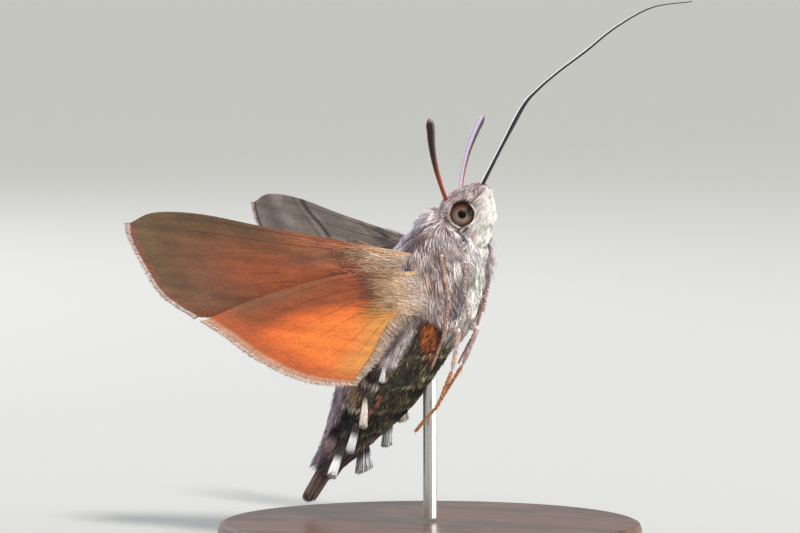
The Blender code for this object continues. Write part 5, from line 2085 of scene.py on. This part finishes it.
    def bristles(self, count: int = 16) -> None:
        """Grows the few black and white bristles under the chin."""
        tufts = Tufts("chin_bristles", self.material)
        draw = np.random.default_rng(115)
        u = draw.uniform(5.75, 6.25, count)
        v = np.where(np.arange(count) % 2, 1, -1) * draw.uniform(2.72, 3.0, count)
        white, black = linear("#eeeae6"), linear("#1c1614")
        lie = Lie(
            length=0.8,
            rise=0.6,
            tone=lambda u, v, chance: np.where((chance > 0.5)[:, None], white, black),
            width=0.016, lock_pull=0.0, towards=1.0,
        )
        grow(tufts, self.skin, u, v, lie, 116, np.stack([u - 5.7, v / 7 + 0.5], 1))
        tufts.build("head_coat")


# The specimen, its stand and the studio


WHITE_TIP = "#f4f5fb"
SOOT = "#171212"
SIDE_TUFTS = (
    Brush("side_tuft_1", (-6.3, -1.35, 3.35), (-7.5, -2.1, 3.70), (0.20, 0.30), (0.14, 0.20), 150,
          0.038, "#d5cac2", WHITE_TIP, 0.25, 0.12, 201),
    Brush("side_tuft_2", (-9.4, -1.35, 3.20), (-11.5, -2.85, 3.80), (0.32, 0.70), (0.20, 0.28), 380,
          0.038, "#8a7868", "#e6dcd2", 0.22, 0.10, 202),
    Brush("side_tuft_3", (-11.7, -1.85, 2.85), (-14.0, -2.85, 3.45), (0.45, 0.62), (0.26, 0.28), 480,
          0.042, SOOT, WHITE_TIP, 0.52, 0.14, 203),
    Brush("side_tuft_4", (-14.4, -1.45, 1.95), (-16.75, -2.50, 3.05), (0.50, 1.00), (0.30, 0.32), 600,
          0.042, SOOT, WHITE_TIP, 0.45, 0.14, 204),
    Brush("side_tuft_5", (-13.4, -0.40, 2.20), (-15.5, -0.70, 2.50), (0.30, 0.35), (0.40, 0.45), 300,
          0.042, "#6a5656", "#b5a3a2", 0.35, 0.25, 205),
)
TAIL_BRUSH = Brush("tail_brush", (-15.2, -0.60, 0.0), (-20.75, -0.70, 0.0), (1.15, 0.85), (0.66, 0.42),
                   1200, 0.050, "#54403c", "#86706a", 0.35, 0.12, 206)


@dataclass
class Moth:
    """The whole moth."""

    coat: Material = field(default_factory=CoatFinish("hair_scales").build)
    wing: Material = field(default_factory=WingFinish("scaled_wing").build)
    horn: Material = field(default_factory=CuticleFinish("leg_cuticle").build)
    tongue: Material = field(
        default_factory=CuticleFinish("proboscis_cuticle", roughness=0.14, contrast=0.06).build
    )

    def build(self) -> None:
        """Makes every part."""
        skin = Skin()
        skin.build(self.coat)
        Coat(skin, self.coat).build()
        for side in Side:
            Eye(side).build()
            Eye(side).fringe(self.coat)
            Palp(side).build(self.coat)
            Antenna(side).build(self.horn)
            for wing in make_wings(side):
                wing.build(self.wing, self.coat)
            for kind in LEG_TONES:
                Leg(kind, side).build(self.horn, self.coat)
        Proboscis().build(self.tongue)
        for brush in SIDE_TUFTS:
            brush.build(self.coat, "abdomen_coat", *Side)
        TAIL_BRUSH.build(self.coat, "tail_scales", Side.RIGHT)


@dataclass(frozen=True)
class Stand:
    """The turned base and the wire, which are the CAD's own meshes in better finishes."""

    def dress(self) -> None:
        """Puts walnut and steel in the nodes' own slots."""
        for node, finish in (("stand_base", WalnutFinish()), ("stand_rod", SteelFinish())):
            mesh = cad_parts[node].data
            material = finish.build()
            if mesh.materials:
                mesh.materials[0] = material
            else:
                mesh.materials.append(material)
            LOG.info("%s: %s", node, material.name)


@dataclass(frozen=True)
class Lamp:
    """A light that looks at the moth, placed by shares of the camera's right, up and back directions.

    The spread is the side of a soft square lamp, in metres, or the angle of a sun, in radians.
    """

    name: str
    kind: str
    toward: Place
    distance: float
    spread: float
    energy: float
    colour: str

    def build(self, basis: Sequence[Vector]) -> None:
        """Adds the light."""
        data = bpy.data.lights.new(self.name, self.kind)
        if self.kind == "AREA":
            data.shape = "SQUARE"
            data.size = self.spread
        else:
            data.angle = self.spread
        data.energy = self.energy
        data.color = tuple(linear(self.colour))
        lamp = link_object(self.name, data)
        way = sum((share * axis for share, axis in zip(self.toward, basis)), Vector()).normalized()
        lamp.location = Vector((0, 0, BODY_HEIGHT * MM)) + way * self.distance
        lamp.rotation_mode = "QUATERNION"
        lamp.rotation_quaternion = (-way).to_track_quat("-Z", "Y")


LAMPS = (
    Lamp("key", "SUN", (0.20, 0.85, 1.00), 0.0, math.radians(10), 3.4, "#fffaf2"),
    Lamp("rim", "AREA", (-0.8, 0.7, -0.9), 0.55, 0.30, 1.6, "#f4f2ff"),
    Lamp("side", "AREA", (1.0, 0.15, -0.1), 0.45, 0.25, 1.6, "#ffffff"),
    Lamp("card", "AREA", (0.95, 0.03, 0.45), 0.40, 0.20, 1.0, "#ffffff"),
)


@dataclass(frozen=True)
class Studio:
    """A pale floor, soft lamps and the camera of the photograph."""

    azimuth: float = 25.8
    elevation: float = 3.4
    distance_mm: float = 450.0
    width_mm: float = 64.0
    right_mm: float = -2.4
    up_mm: float = 1.88
    sensor_mm: float = 36.0
    floor_radius: float = 6.0
    sky_strength: float = 0.52

    def basis(self) -> tuple[Vector, Vector, Vector]:
        """Gives the camera's right, up and backward directions."""
        a, e = math.radians(self.azimuth), math.radians(self.elevation)
        back = Vector((math.sin(a) * math.cos(e), -math.cos(a) * math.cos(e), math.sin(e)))
        right = Vector((math.cos(a), math.sin(a), 0))
        return right, back.cross(right), back

    def camera(self) -> None:
        """Makes the camera."""
        right, up, back = self.basis()
        target = Vector((0, 0, BODY_HEIGHT)) + right * self.right_mm + up * self.up_mm
        data = bpy.data.cameras.new("photo_camera")
        data.sensor_width = self.sensor_mm
        data.lens = self.sensor_mm * self.distance_mm / self.width_mm
        data.clip_start = 0.001
        camera = link_object("photo_camera", data)
        place = (target + back * self.distance_mm) * MM
        camera.matrix_world = Matrix.Translation(place) @ Matrix((right, up, back)).transposed().to_4x4()
        bpy.context.scene.camera = camera

    def floor(self) -> None:
        """Lays a wide disc of pale paper under the stand."""
        bm = bmesh.new()
        bmesh.ops.create_circle(bm, cap_ends=True, segments=96, radius=self.floor_radius)
        mesh = mesh_of(bm, "studio_floor")
        mesh.materials.append(FloorFinish().build())
        link_object("studio_floor", mesh)

    def world(self) -> None:
        """Sets an even pale sky."""
        world = bpy.data.worlds.new("studio_sky")
        world.use_nodes = True
        shade = world.node_tree.nodes["Background"]
        shade.inputs["Color"].default_value = rgba("#eef1f4")
        shade.inputs["Strength"].default_value = self.sky_strength
        bpy.context.scene.world = world

    def build(self) -> None:
        """Sets up the studio."""
        self.camera()
        self.floor()
        self.world()
        for lamp in LAMPS:
            lamp.build(self.basis())
        view = bpy.context.scene.view_settings
        view.view_transform = "Standard"
        view.look = "None"


def main() -> None:
    """Builds the moth on its stand in the studio."""
    logging.basicConfig(level=logging.INFO, format="%(message)s")
    Studio().build()
    Stand().dress()
    Moth().build()
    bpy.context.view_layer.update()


if __name__ == "__main__":
    main()
